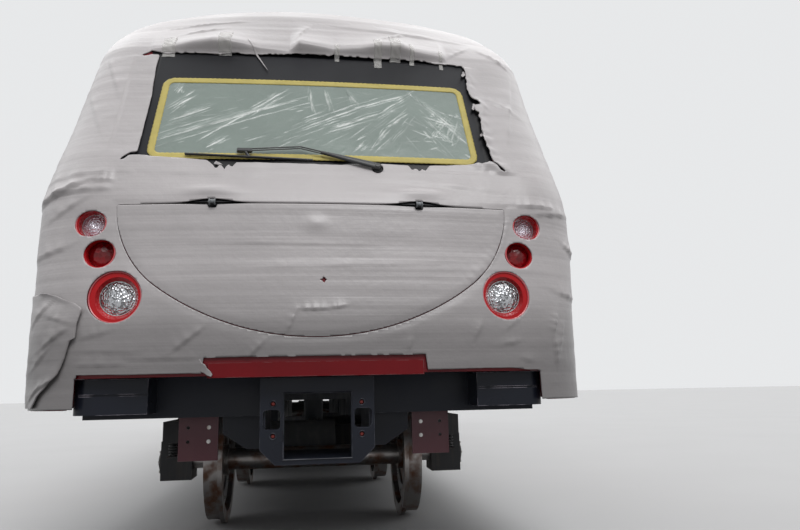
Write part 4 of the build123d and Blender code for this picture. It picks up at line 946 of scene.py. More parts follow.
# Outline of the hole torn round the window, clockwise from the upper left: x, z
WINDOW_HOLE = [
    (-0.975, 3.040), (-1.020, 3.046), (-1.062, 3.030), (-1.088, 3.036), (-1.060, 3.052), (-1.024, 3.070),
    (-0.985, 3.062), (-0.93, 3.058), (-0.50, 3.060), (0.00, 3.060), (0.50, 3.060), (0.90, 3.052),
    (0.951, 3.030), (0.956, 2.960), (0.962, 2.893), (0.966, 2.751), (1.020, 2.690), (0.985, 2.678),
    (0.984, 2.640), (0.998, 2.620), (0.984, 2.599), (0.990, 2.438), (1.002, 2.330), (1.012, 2.262),
    (1.040, 2.215), (1.082, 2.165), (1.072, 2.152), (1.020, 2.214), (0.996, 2.234), (0.941, 2.219),
    (0.800, 2.210), (0.632, 2.200), (0.604, 2.158), (0.590, 2.176), (0.572, 2.150), (0.552, 2.176),
    (0.530, 2.160), (0.512, 2.196), (0.272, 2.200), (0.125, 2.184), (-0.100, 2.186), (-0.315, 2.186),
    (-0.440, 2.184), (-0.462, 2.150), (-0.482, 2.172), (-0.500, 2.136), (-0.524, 2.170), (-0.545, 2.140),
    (-0.566, 2.168), (-0.600, 2.198), (-0.747, 2.215), (-0.908, 2.227), (-0.965, 2.232), (-1.017, 2.232),
    (-1.040, 2.206), (-1.064, 2.196), (-1.058, 2.212), (-1.034, 2.238), (-1.010, 2.254), (-0.980, 2.258),
    (-0.975, 2.400), (-0.968, 2.700), (-0.978, 2.900),
]
# Streaks in the window's film: x and z of both ends
FILM_CREASES = [
    (-0.844, 2.583, -0.714, 2.697), (-0.848, 2.490, -0.624, 2.603), (-0.826, 2.712, -0.794, 2.779),
    (-0.675, 2.343, -0.402, 2.561), (-0.402, 2.561, -0.175, 2.766), (-0.616, 2.300, -0.513, 2.375),
    (-0.042, 2.772, -0.030, 2.590), (0.044, 2.758, 0.077, 2.611), (0.179, 2.766, 0.236, 2.668),
    (-0.099, 2.446, 0.259, 2.636), (0.259, 2.636, 0.579, 2.765), (0.074, 2.453, 0.378, 2.593),
    (0.378, 2.593, 0.578, 2.757), (0.313, 2.326, 0.418, 2.483), (0.418, 2.483, 0.551, 2.603),
    (0.648, 2.693, 0.886, 2.416), (0.723, 2.582, 0.881, 2.385), (0.668, 2.546, 0.756, 2.408),
    (0.208, 2.293, 0.282, 2.385), (-0.874, 2.356, -0.101, 2.685), (0.690, 2.560, 0.860, 2.500),
    (0.700, 2.430, 0.790, 2.560), (0.790, 2.400, 0.850, 2.540),
]

BROW_FOOT_Z = 3.052       # where the sheet starts to lift over the window
WIPER_FOOT = (0.333, 2.168)       # x and z of the wiper's spindle


def smooth_step(value, low, high):
    """Goes softly from 0 to 1 between two values."""
    t = np.clip((value - low) / (high - low), 0.0, 1.0)
    return t * t * (3 - 2 * t)


def bell(distance, width, power=2):
    """1 at a place, falling to nothing about a width away."""
    return np.exp(-(distance / width) ** power)


def sheet_height(grid, looks):
    """How far the loose sheet stands off the mask at a grid of points."""
    x, y, z = np.moveaxis(grid, -1, 0)
    forward = y < NOSE_Y + 0.9
    across = 1.0 * (forward & (z > 1.0))
    front = 1.0 - smooth_step(y - NOSE_Y, 0.95, 1.25)
    side = smooth_step(np.abs(x), 1.30, 1.46)
    height = looks.standoff + looks.bagginess * (0.45 + clouds(grid, (1.1, 1.1, 1.9), 1))
    height += looks.side_belly * side * bell(z - 1.75, 0.42) * (0.8 + 0.5 * clouds(grid, (0.9, 0.9, 1.4), 2))
    height += looks.pleats * clouds(grid, (1.3, 1.3, 17.0), 3)
    height += 0.4 * looks.pleats * clouds(grid, (0.9, 0.9, 42.0), 4)
    height += across * creases(x, z, FOLDS)
    for sx, sz, wide, high, rise in SWELLINGS:
        height += across * rise * np.exp(-((x - sx) / wide) ** 2 - ((z - sz) / high) ** 2)
    # The brow: the edge is seen from below, so its outline is made by how far the crest stands out
    seen = np.interp(x, *np.array(WINDOW_BROW).T, left=3.05, right=3.05)
    crest = 3.085 + 0.25 * (seen - 3.09)
    rise = np.maximum(0.0, (seen - crest) / 1.22)
    over = bell(np.maximum(0.0, z - crest), 0.13, 1.5)
    height += front * rise * np.where(z < crest, smooth_step(z, BROW_FOOT_Z, crest), over)
    # Curled edges of the hole, the lifted hem over the lip, and the close-lying seam at the hatch
    curl = front * bell(np.abs(polygon_inside(x, z, WINDOW_HOLE)), 0.05) * (z < 3.03) * (z > 2.15) * forward
    height += curl * smooth_step(x, 0.85, 0.95) * (0.010 + 0.020 * np.abs(clouds(grid, 13.0, 14)))
    height += curl * 0.005 * np.abs(clouds(grid, 9.0, 15))
    hem = smooth_step(x, -1.20, -1.17) * (1 - smooth_step(x, -0.56, -0.54)) * forward
    height += 0.003 * hem * (z < 1.112)
    seam = 0.6 * across * bell(np.abs(hatch_outline(x, z, 0.0)), 0.025) * (z < HATCH_TOP + 0.02)
    height = height * (1 - seam) + 0.006 * seam
    return np.maximum(height, 0.004)


def sheet_grid(mesh_step):
    """The front sheet before it is cut: rows go up the side, round the shoulder and over the arch."""
    section = section_line()
    steps = run_along(section)
    at, rows = 0.0, []
    while at < steps[-1]:
        rows.append(at)
        z = np.interp(at, steps, section[:, 1])
        at += 0.006 if 3.04 < z < 3.13 else mesh_step if z < 3.4 else 0.040
    rows.append(steps[-1])
    front_count, side_count = int(2.0 / mesh_step), 20
    half = []
    for at in rows:
        edge_x, z = (np.interp(at, steps, section[:, k]) for k in (0, 1))
        line = level_line(z)
        end = np.interp(edge_x, line[:, 0], line[:, 1])
        line = np.concatenate([line[line[:, 0] < edge_x - 1e-4], [[edge_x, end]]])
        line[0, 0] = 0.0
        if len(line) < 2:
            line = np.array([[0.0, end], [edge_x, end]])
        line = spaced(line, front_count)
        back = np.linspace(line[-1, 1], SHEET_REAR, side_count)[1:]
        x = np.concatenate([line[:, 0], np.full(len(back), edge_x)])
        setback = np.concatenate([line[:, 1], back])
        half.append(np.stack([x, NOSE_Y + setback, np.full(len(x), z)], axis=1))
    half = np.array(half)
    other = half[:, :0:-1] * (-1.0, 1.0, 1.0)
    return np.concatenate([other, half], axis=1)


def stand_off(grid, height):
    """Moves a grid out along its normals, and keeps the line over the crown closed."""
    normal = np.cross(np.gradient(grid, axis=1), np.gradient(grid, axis=0))
    normal /= np.maximum(np.linalg.norm(normal, axis=2, keepdims=True), 1e-9)
    if np.ptp(grid[-1, :, 0]) < 1e-6:
        normal[-1] = normal[-2] * (0.0, 1.0, 1.0)
        normal[-1] /= np.maximum(np.linalg.norm(normal[-1], axis=1, keepdims=True), 1e-9)
    return grid + normal * height[..., None]


def lamp_holes(x, z):
    """How far outside all of the sheet's lamp holes a place is."""
    clear = np.full(np.shape(x), 1e3)
    for lamp_x, lamp_z, wide, high in SHEET_LAMP_HOLES:
        reach = np.hypot((np.abs(x) - lamp_x) / wide, (z - lamp_z) / high)
        clear = np.minimum(clear, (reach - 1) * high)
    return clear


def front_sheet_keep(grid):
    """Positive where the front sheet is left, negative in its holes and beyond its edges."""
    x, y, z = np.moveaxis(grid, -1, 0)
    ragged = 0.006 * clouds(grid, 9.0, 6) + 0.003 * clouds(grid, 34.0, 7)
    forward = np.where(y < NOSE_Y + 0.95, 0.0, 1e3)
    torn = 0.4 + 2.6 * smooth_step(x, 0.88, 0.94) + 1.2 * smooth_step(z, 2.98, 3.04)
    window = forward - polygon_inside(x, z, WINDOW_HOLE) + torn * ragged
    beside_hatch = 1e3 * (np.abs(x) > HATCH_HALF + 0.1) + forward
    hatch = beside_hatch - hatch_outline(x, z, 0.0005)
    gape = 0.022 * bell(np.abs(x) - 0.55, 0.13)
    slit = np.minimum(np.minimum(HATCH_TOP + 0.003 + gape - z, z - HATCH_TOP + 0.03), 0.91 - np.abs(x))
    lamps = forward + lamp_holes(x, z) + 0.15 * ragged
    wiper_foot = forward + np.hypot(x - WIPER_FOOT[0], z - WIPER_FOOT[1]) - 0.034
    middle = np.abs(x) < 1.18
    hem = np.where(middle, 1.053, 0.888) + 0.004 * clouds(grid, 3.0, 8)
    hem -= 0.014 * smooth_step(x, 1.0, 1.17) * middle
    hem = np.maximum(hem, np.where(np.abs(x + 0.005) < 0.56, 1.127, 0.0))
    rear = SHEET_REAR - 0.006 - (y - NOSE_Y) + ragged
    return np.minimum.reduce([window, hatch, beside_hatch - slit, lamps, wiper_foot, z - hem + 0.5 * ragged,
                              rear])


def film_streaks():
    """All streaks of the film: the main creases, each with thinner ones beside it. Rows end in strength."""
    chance = np.random.default_rng(5)
    rows = []
    for x0, z0, x1, z1 in FILM_CREASES:
        rows.append((x0, z0, x1, z1, 1.0))
        for _ in range(9):
            a, b = sorted(chance.uniform(-0.25, 1.20, 2))
            if b - a < 0.25:
                continue
            shift, bend = chance.normal(0, 0.018), chance.normal(0, 0.012)
            rows.append((x0 + (x1 - x0) * a + shift, z0 + (z1 - z0) * a - shift,
                         x0 + (x1 - x0) * b + shift + bend,
                         z0 + (z1 - z0) * b - shift, chance.uniform(0.2, 0.65)))
    for _ in range(90):
        x, z, reach = chance.uniform(-0.88, 0.80), chance.uniform(2.27, 2.70), chance.uniform(0.02, 0.18)
        slope = (2.84 - z) / (0.76 - x) + chance.normal(0.05, 0.10) if x < 0.50 else chance.normal(-0.9, 0.5)
        rows.append((x, z, x + reach, z + reach * slope, chance.uniform(0.10, 0.42)))
    for _ in range(40):
        x, z, reach = chance.uniform(0.62, 0.86), chance.uniform(2.30, 2.62), chance.uniform(0.01, 0.05)
        rows.append((x, z, x + reach, z + reach * chance.normal(0.2, 1.4), chance.uniform(0.2, 0.7)))
    return rows


def record_creases(piece, rows, width):
    """Keeps how near each vertex is to a broken, uneven streak, for the finish to whiten it with crease
    whitening and painted highlight.
    """
    places = np.empty(len(piece.data.vertices) * 3)
    piece.data.vertices.foreach_get("co", places)
    places = places.reshape(-1, 3)
    warp = 0.006 * clouds(places, 9.0, 31) + 0.0015 * clouds(places, 40.0, 32)
    x, z = places[:, 0] + warp, places[:, 2] - warp
    broken = np.clip(0.70 + 1.3 * clouds(places, 16.0, 33), 0.20, 1.2)
    amount = np.zeros(len(places))
    for *ends, strength in rows:
        distance, along = segment_distance(x, z, *ends)
        body = np.sin(pi * np.clip(along, 0.02, 0.98)) ** 0.6
        wide = width * (0.5 + 0.6 * body * strength)
        amount = np.maximum(amount, strength * body * bell(distance, wide, 1.5) * broken)
    layer = piece.data.attributes.new("crease", "FLOAT", "POINT")
    layer.data.foreach_set("value", np.clip(amount, 0.0, 1.0))


def tape_round(name, look, points, width, height, rows=5):
    """Tape laid round a closed line of points of x and z on the mask's front, with slightly wavy edges."""
    line = np.array([*points, points[0]], float)
    line = spaced(line, int(run_along(line)[-1] / 0.008))
    along = np.gradient(line, axis=0)[:-1]
    line = line[:-1]
    along[0] = line[1] - line[-1]
    along /= np.linalg.norm(along, axis=1, keepdims=True)
    side = np.stack([-along[:, 1], along[:, 0]], axis=1)
    steps = np.arange(len(line))
    vertices = []
    for k in np.linspace(-0.5, 0.5, rows):
        at_edge = abs(k) > 0.49
        place = line + side * (k * width + 0.0012 * np.sin(steps * 1.7 + 1) * at_edge)[:, None]
        lift = height + 0.0008 * np.cos(steps * 2.1 + k * 9 + 1) - 0.0006 * at_edge
        vertices.append(on_front(place[:, 0], place[:, 1], lift))
    piece = link_mesh(name, np.concatenate(vertices), grid_faces(rows, len(line), closed=True))
    thicken(piece, TAPE_THICKNESS)
    return dress(piece, look, "car")


# What a user would change

def colour_prop(name, description, *tone):
    """Colour that a user picks, given as a screen shows it."""
    return FloatVectorProperty(name=name, description=description, default=srgb(*tone), size=3,
                               subtype="COLOR", min=0, max=1)


def length_prop(name, description, default, low, high):
    """Length in metres that a user sets."""
    return FloatProperty(name=name, description=description, default=default, min=low, max=high,
                         unit="LENGTH")


def share_prop(name, description, default, high=1.0):
    """Share that a user sets, from none upwards."""
    return FloatProperty(name=name, description=description, default=default, min=0.0, max=high,
                         subtype="FACTOR")


class CarLooks(bpy.types.PropertyGroup):
    """Colours and sizes of the car's finishes and covers"""

    mask_colour: colour_prop("Mask", "Paint of the front mask", 112, 16, 26)
    side_colour: colour_prop("Sides", "Paint of the side walls", 206, 208, 206)
    door_colour: colour_prop("Doors", "Paint of the side doors", 158, 28, 36)
    cup_colour: colour_prop("Lamp cups", "Gloss red round the lamps", 176, 24, 30)
    lip_colour: colour_prop("Lip", "Paint of the lip under the hatch", 104, 10, 18)
    underparts_black: colour_prop("Black underparts", "Paint of the headstock and pocket", 24, 27, 36)
    underparts_grey: colour_prop("Grey underparts", "Paint of the cases and the floor frame", 84, 87, 92)
    sheet_colour: colour_prop("Sheet", "Plastic sheet over the front", 189, 184, 184)
    film_colour: colour_prop("Film", "Film on the windscreen", 138, 152, 144)
    tape_colour: colour_prop("Tape", "Tape round the windscreen", 192, 176, 92)
    film_cover: share_prop("Film cover", "How much the film hides", 0.86)
    standoff: length_prop("Stand-off", "How far the sheet lies off the mask", 0.007, 0.004, 0.05)
    bagginess: length_prop("Bagginess", "Depth of the sheet's broad waves", 0.011, 0.0, 0.05)
    side_belly: length_prop("Side belly", "How far the sheet bellies out at the sides", 0.030, 0.0, 0.05)
    pleats: length_prop("Pleats", "Height of the level pleats", 0.0022, 0.0, 0.01)
    mesh_step: length_prop("Mesh step", "Spacing of the sheet's mesh", 0.0115, 0.008, 0.05)
    tape_width: length_prop("Tape width", "Width of the windscreen's tape", 0.040, 0.01, 0.08)
    light_level: share_prop("Light level", "Strength of the studio lamps", 1.0, 3.0)


class PieceOperator(bpy.types.Operator):
    """Common ground of the operators that make pieces"""

    bl_options = {"REGISTER", "UNDO"}

    def execute(self, context):
        self.make(context.scene.metro_car)
        return {"FINISHED"}


class METRO_OT_finishes(PieceOperator):
    """Gives every part from the model its finish"""
    bl_idname = "metro.finishes"
    bl_label = "Finishes"

    def make(self, looks):
        for piece in frame["nodes"].values():
            for place in piece.material_slots:
                place.material = finish(place.material.name.split(".")[0])


class METRO_OT_front_sheet(PieceOperator):
    """Loose sheet over the mask, torn open round the windscreen and cut out at the lamps and the hatch"""
    bl_idname = "metro.front_sheet"
    bl_label = "Front sheet"

    def make(self, looks):
        grid = sheet_grid(looks.mesh_step)
        piece = grid_piece("front_wrap_sheet", stand_off(grid, sheet_height(grid, looks)))
        trim(piece, front_sheet_keep(grid))
        thicken(piece, SHEET_EDGE, rim_only=True)
        lay_sheet(piece, "wrap_sheet", "car", "front_wrap")


class METRO_OT_hatch_sheet(PieceOperator):
    """The part of the sheet that is cut free with the half-moon hatch and swings with it"""
    bl_idname = "metro.hatch_sheet"
    bl_label = "Hatch sheet"

    # The nick in the sheet: x and z of its outline
    NICK = [(0.004, 1.512), (0.024, 1.520), (0.030, 1.540), (0.037, 1.521), (0.058, 1.518), (0.038, 1.511),
            (0.033, 1.490), (0.023, 1.510)]

    def make(self, looks):
        x, z = np.meshgrid(np.arange(-1.045, 1.0451, 0.008), np.arange(1.21, 1.945, 0.008))
        grid = on_front(x, z)
        piece = grid_piece("hatch_wrap_sheet", stand_off(grid, sheet_height(grid, looks)))
        edge = hatch_outline(x, z, 0.0) - 0.0015 - 0.003 * (1 - smooth_step(z, 1.72, 1.86))
        hinge_notches = np.maximum(np.abs(np.abs(x) - HINGE_X) - 0.022, HATCH_TOP - 0.024 - z)
        top = HATCH_TOP - 0.003 - 0.005 * bell(np.abs(x) - 0.55, 0.12) - z
        trim(piece, np.minimum.reduce([edge, hinge_notches, top, -polygon_inside(x, z, self.NICK)]))
        thicken(piece, SHEET_EDGE, rim_only=True)
        lay_sheet(piece, "wrap_sheet", "hatch", "hatch_wrap")


class METRO_OT_folded_corner(PieceOperator):
    """Corner of the sheet that is folded back over itself at the lower left"""
    bl_idname = "metro.folded_corner"
    bl_label = "Folded corner"

    # The corner's inner edge: z and x
    EDGE = [(0.890, -1.400), (0.960, -1.355), (1.059, -1.250), (1.132, -1.221), (1.222, -1.196),
            (1.232, -1.172),
            (1.300, -1.168), (1.378, -1.150), (1.404, -1.183), (1.449, -1.287), (1.476, -1.370)]
    # Creases across the folded corner: both ends, half width and height
    CREASES = [(-1.373, 1.179, -1.196, 1.293, 0.014, 0.010), (-1.40, 0.975, -1.230, 1.060, 0.014, 0.010),
               (-1.36, 1.36, -1.18, 1.30, 0.014, 0.008), (-1.42, 1.08, -1.30, 1.20, 0.012, 0.007),
               (-1.45, 1.30, -1.30, 1.44, 0.014, 0.008), (-1.43, 0.93, -1.34, 1.02, 0.012, 0.008)]
    COLUMNS = 84

    def make(self, looks):
        rows = []
        for z in np.arange(0.892, 1.478, 0.009):
            line = level_line(z)
            edge = -np.interp(z, *np.array(self.EDGE).T)
            start = np.interp(edge, line[:, 0], line[:, 1])
            line = np.concatenate([[[edge, start]], line[line[:, 0] > edge + 0.004], [[side_x(z), 0.86]]])
            line = spaced(line, self.COLUMNS)[::-1]
            rows.append(np.stack([-line[:, 0], NOSE_Y + line[:, 1], np.full(self.COLUMNS, z)], axis=1))
        grid = np.array(rows)
        sheet = sheet_height(grid, looks)
        # How far from the fold, which runs down the inner edge
        run = np.linspace(7.5, 0.0, self.COLUMNS)[None, :]
        height = sheet + 0.009 + 0.010 * bell(run, 0.5) + 0.006 * clouds(grid, (5.0, 5.0, 3.0), 11)
        height += 0.006 * clouds(grid, (14.0, 14.0, 7.0), 12) * bell(run, 3.0)
        height += creases(grid[..., 0], grid[..., 2], self.CREASES)
        piece = grid_piece("folded_sheet_corner", stand_off(grid, np.maximum(height, sheet + 0.004)))
        trim(piece, grid[..., 2] - 0.902 - 0.010 * clouds(grid, (8.0, 8.0, 2.0), 13))
        thicken(piece, 0.005, rim_only=True)
        lay_sheet(piece, "wrap_sheet", "car")


class METRO_OT_torn_ends(PieceOperator):
    """Small torn ends of the sheet by the windscreen and the lip"""
    bl_idname = "metro.torn_ends"
    bl_label = "Torn ends"

    # Torn tongues of the sheet: name, root, tip (x and z), width at the root, how far the tip stands off
    TONGUES = [
        ("torn_end_lip", (-0.600, 1.105), (-0.512, 1.040), 0.050, 0.016),
        ("torn_end_right", (1.020, 2.250), (1.052, 2.190), 0.022, 0.010),
        ("torn_end_under", (-0.556, 2.190), (-0.512, 2.168), 0.018, 0.010),
        ("torn_end_side", (0.992, 2.700), (0.958, 2.640), 0.034, 0.014),
        ("torn_end_edge", (1.010, 2.470), (0.972, 2.430), 0.030, 0.012),
        ("torn_end_upper", (0.968, 2.985), (0.934, 2.930), 0.032, 0.014),
        ("torn_strand", (-0.430, 3.150), (-0.301, 2.916), 0.011, 0.004),
    ]

    def make(self, looks):
        u, v = np.meshgrid(np.linspace(0, 1, 22), np.linspace(-0.5, 0.5, 9))
        for name, start, end, width, lift in self.TONGUES:
            along = np.subtract(end, start)
            reach = float(np.linalg.norm(along))
            taper = v * width * (1.0 - 0.75 * u ** 1.4) * (1 + 0.12 * np.sin(u * 17)) / reach
            x = start[0] + along[0] * u - along[1] * taper
            z = start[1] + along[1] * u + along[0] * taper
            curl = 0.012 + lift * u ** 1.6 + 0.006 * v * np.sin(u * 5)
            if name == "torn_strand":
                over_sheet = sheet_height(on_front(x, z), looks) + 0.004
                curl = np.where(z > BROW_FOOT_Z, np.maximum(curl, over_sheet), curl)
            piece = grid_piece(name, on_front(x, z, curl))
            thicken(piece, 0.002, rim_only=True)
            lay_sheet(piece, "wrap_sheet", "car")


class METRO_OT_window_film(PieceOperator):
    """Creased film on the windscreen"""
    bl_idname = "metro.window_film"
    bl_label = "Window film"

    def make(self, looks):
        x, z = np.meshgrid(np.linspace(-0.930, 0.930, 480),
                           np.linspace(FILM_LOW_Z - 0.002, FILM_HIGH_Z + 0.002, 175))
        grid = on_front(x, z)
        streaks = film_streaks()
        folds = [(*ends, 0.005, 0.0035 * strength) for *ends, strength in streaks]
        height = 0.0045 + np.minimum(creases(x, z, folds),
                                     0.005)
        height += 0.0010 * (1 + clouds(grid, 6.0, 21)) + 0.0006 * (1 + clouds(grid, 22.0, 22))
        piece = grid_piece("window_film_sheet", stand_off(grid, height))
        trim(piece, rounded_outline(x, z, 0.926, 0.911, FILM_LOW_Z, FILM_HIGH_Z, 0.045))
        record_creases(piece, streaks, 0.0036)
        lay_sheet(piece, "clear_film", "car", "window_film")


class METRO_OT_window_tape(PieceOperator):
    """Yellow tape round the windscreen, and clear packing tape that holds the sheet"""
    bl_idname = "metro.window_tape"
    bl_label = "Tapes"

    # Clear tape over the brow: x, low end, high end, width
    TABS = [
        (-0.920, 3.030, 3.190, 0.080), (-0.572, 3.050, 3.230, 0.080), (0.130, 3.030, 3.125, 0.030),
        (0.393, 2.990, 3.190, 0.050), (0.508, 3.050, 3.240, 0.070), (0.618, 3.030, 3.160, 0.030),
        (0.812, 3.005, 3.130, 0.024),
    ]

    def make(self, looks):
        middle = rounded_rectangle(0.911, FILM_LOW_Z + 0.010, FILM_HIGH_Z - 0.012, 0.050, 0.896, count=8)
        tape_round("windscreen_tape", "yellow_tape", middle, looks.tape_width, 0.0085)
        for k, tab in enumerate(self.TABS):
            self.lay_tab(k, *tab, looks)

    def lay_tab(self, k, x, low, high, width, looks):
        """Tape from the window panel up over the sheet's brow, wrinkled and a little slack."""
        u, z = np.meshgrid(np.linspace(-0.5, 0.5, 9), np.linspace(low, high, 40))
        grid = on_front(x + u * width * (1 + 0.05 * np.sin(z * 90 + k)), z)
        sheet = sheet_height(grid, looks)
        height = np.where(z < 3.060, 0.003, sheet + 0.004)
        height = np.maximum(height, 0.003 + smooth_step(z, 3.045, 3.100) * 0.5 * sheet)
        height += 0.0015 * np.sin(z * 160 + u * 9 + k)
        piece = grid_piece(f"packing_tape_{k + 1}", stand_off(grid, height))
        thicken(piece, TAPE_THICKNESS)
        dress(piece, "packing_tape", "car")


class METRO_OT_lamps(PieceOperator):
    """Lenses, chrome rings and painted rims of the head, tail and marker lamps"""
    bl_idname = "metro.lamps"
    bl_label = "Lamps"

    def make(self, looks):
        clear, red, rings, rims = Solids(), Solids(), Solids(), Solids()
        for kind, (lamp_x, lamp_z, hole, lens) in LAMPS.items():
            node, solids = ("red_lamp_lenses", red) if kind == "tail" else ("clear_lamp_lenses", clear)
            for side in (-1, 1):
                place = (side * lamp_x, self.lens_rear(node, lamp_x, lamp_z), lamp_z)
                dome = [(lens * f, 0.020 + 0.018 * (1 - f ** 2))
                        for f in (0.96, 0.8, 0.64, 0.48, 0.32, 0.16, 0.02)]
                solids.lathe(place, (0, -1, 0), [(lens * 0.985, 0.0), (lens * 0.985, 0.016), *dome], 48)
                if kind != "tail":
                    rings.lathe(place, (0, -1, 0), [(lens * 0.98, 0.0), (lens, 0.004), (lens, 0.020),
                                                    (lens * 0.99, 0.023), (lens * 0.965, 0.023),
                                                    (lens * 0.96, 0.019)], 48)
                turn = np.linspace(0, 2 * pi, 65)[:-1]
                rims.hoop(on_front(side * lamp_x + hole * 0.995 * np.cos(turn),
                                   lamp_z + hole * 0.995 * np.sin(turn), 0.003), 0.0042)
        clear_piece, red_piece, _, _ = finish_all([
            ("clear_lenses", clear, "lens_clear"), ("red_lenses", red, "lens_red"),
            ("lamp_rings", rings, "bright_steel"), ("lamp_rims", rims, "lamp_rim_red", "lamp_cup_red")])
        clear_piece.data.materials.append(finish("lens_marker"))
        for face in clear_piece.data.polygons:
            face.material_index = int(face.center.z > LAMPS["tail"][1])
        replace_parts(clear_piece, "clear_lamp_lenses")
        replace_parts(red_piece, "red_lamp_lenses")

    def lens_rear(self, node, lamp_x, lamp_z):
        """Rear face of the model's lens round a place."""
        return max(v.co.y for v in frame["nodes"][node].data.vertices
                   if abs(abs(v.co.x) - lamp_x) < 0.1 and abs(v.co.z - lamp_z) < 0.1)


class METRO_OT_wiper(PieceOperator):
    """Wiper with its spindle, two-part arm, spring cover and blade"""
    bl_idname = "metro.wiper"
    bl_label = "Wiper"

    ELBOW, HOLDER = (-0.094, 2.286), (-0.400, 2.262)
    BLADE = ((-0.720, 2.238), (-0.025, 2.206))

    def bar(self, solids, a, b, radius, lift_a, lift_b, count=16):
        """Round bar along the front between two places, at a height at each end."""
        t = np.linspace(0, 1, count)
        x, z = (a[k] + (b[k] - a[k]) * t for k in (0, 1))
        solids.pipe(on_front(x, z, lift_a + (lift_b - lift_a) * t), radius, sides=10)

    def make(self, looks):
        arm, blade = Solids(), Solids()
        foot = Vector(on_front(*WIPER_FOOT, 0.0))
        arm.lathe(foot, Vector(on_front(*WIPER_FOOT, 1.0)) - foot,
                  [(0.001, 0.0), (0.026, 0.0), (0.026, 0.008), (0.021, 0.012), (0.020, 0.036), (0.014, 0.042),
                   (0.001, 0.043)], 32)
        self.spring_cover(arm)
        for shift in (-0.0065, 0.0065):
            start, elbow, end = ((x, z + shift) for x, z in ((0.06, 2.2435), self.ELBOW, self.HOLDER))
            self.bar(arm, start, elbow, 0.0038, 0.030, 0.030)
            self.bar(arm, elbow, end, 0.0038, 0.030, 0.030)
        holder, half = Vector(on_front(*self.HOLDER, 0.026)), Vector((0.042, 0.010, 0.014))
        arm.box(holder - half, holder + half, 0.004, turn=(-25, 0, 0))
        self.bar(arm, self.HOLDER, np.mean(self.BLADE, axis=0), 0.0085, 0.026, 0.022)
        self.bar(arm, *self.BLADE, 0.0055, 0.0235, 0.0235, 40)
        for share in (0.04, 0.2, 0.36, 0.64, 0.8, 0.96):
            x, z = (a + share * (b - a) for a, b in zip(*self.BLADE))
            arm.rod(on_front(x, z, 0.013), on_front(x, z, 0.027), 0.0055, sides=10, bevel=0.001)
        self.bar(blade, *self.BLADE, 0.0046, 0.0165, 0.0165, 40)
        arm.finish("wiper_arm", "wiper_black", slot="black_rubber")
        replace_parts(blade.finish("wiper_blade", "black_rubber"), "wiper")

    def spring_cover(self, arm):
        """Tapered cover of the arm's spring, from the spindle to where the two thin bars start."""
        start, end = np.array(WIPER_FOOT), np.array((0.02, 2.2545))
        along = (end - start) / np.linalg.norm(end - start)
        across = np.array((-along[1], along[0]))
        rings = []
        for t in np.linspace(-0.04, 1.0, 14):
            half = 0.020 - 0.011 * max(0.0, t) ** 1.5
            angles = [2 * pi * k / 16 for k in range(16)]
            rings.append([arm.mesh.verts.new(on_front(*(start + (end - start) * t + across * half * cos(angle)),
                                                      0.030 + 0.010 * sin(angle))) for angle in angles])
        add_ring_faces(arm.mesh, rings)
        arm.cap(rings)


class METRO_OT_hinge_covers(PieceOperator):
    """Grey covers over the hatch's hinge lugs"""
    bl_idname = "metro.hinge_covers"
    bl_label = "Hinge covers"

    def make(self, looks):
        ears, lugs = Solids(), Solids()
        axis_y = NOSE_Y + 0.080
        for side in (-1, 1):
            for edge in (-0.0135, 0.0135):
                ears.lathe((side * HINGE_X + edge - 0.0035, axis_y, HINGE_Z), (1, 0, 0),
                           [(0.001, 0.0), (0.0162, 0.0), (0.0162, 0.007), (0.001, 0.007)], 28)
            lugs.lathe((side * HINGE_X - 0.0085, axis_y, HINGE_Z), (1, 0, 0),
                       [(0.001, 0.0), (0.0140, 0.0), (0.0145, 0.0085), (0.0140, 0.017), (0.001, 0.017)], 28)
            ears.bolt((side * (HINGE_X + 0.017), axis_y, HINGE_Z), (side, 0, 0), 0.0055, 0.003)
        ears.finish("hinge_ear_covers", "hinge_grey")
        lugs.finish("hinge_lug_covers", "hinge_grey", "hatch")


# Sides

SIDES = (("left", 1), ("right", -1))
LEAF_OUTER = 0.029       # how far a door leaf's face lies in from the wall's
SIDE_OPENINGS = [(-2.300, 0.860), (2.600, 0.860), (7.425, 0.785)]
OPENING_LOW, OPENING_HIGH, OPENING_R = 2.110, 2.900, 0.090
DOORWAYS = [-4.750, 0.150, 5.050]
DOORWAY_HALF, DOORWAY_TOP = 0.650, 3.030
PANE_LOW, PANE_HIGH, PANE_R = 2.110, 2.790, 0.060
CAB_DOOR_Y, CAB_DOOR_HALF = -7.180, 0.275
GUTTER_Z = 3.118


def fit_pane(body, side, centre, half, rubber_half):
    """Pane of a door, and its rubbers outside and inside."""
    panes, rubbers = Solids(), Solids()
    panes.plate_on_side(side, [(centre + y, z) for y, z in rounded_rectangle(half, PANE_LOW - 0.004,
                                                                            PANE_HIGH + 0.004, PANE_R)])
    for inset in (0.030, 0.060):
        rubbers.hoop(outline_on_side(side, centre, rubber_half, PANE_LOW + 0.003, PANE_HIGH - 0.003, PANE_R,
                                     inset),
                     0.0065)
    finish_all([("_pane", panes, "glass"), ("_pane_rubber", rubbers, "black_rubber")], body, body)


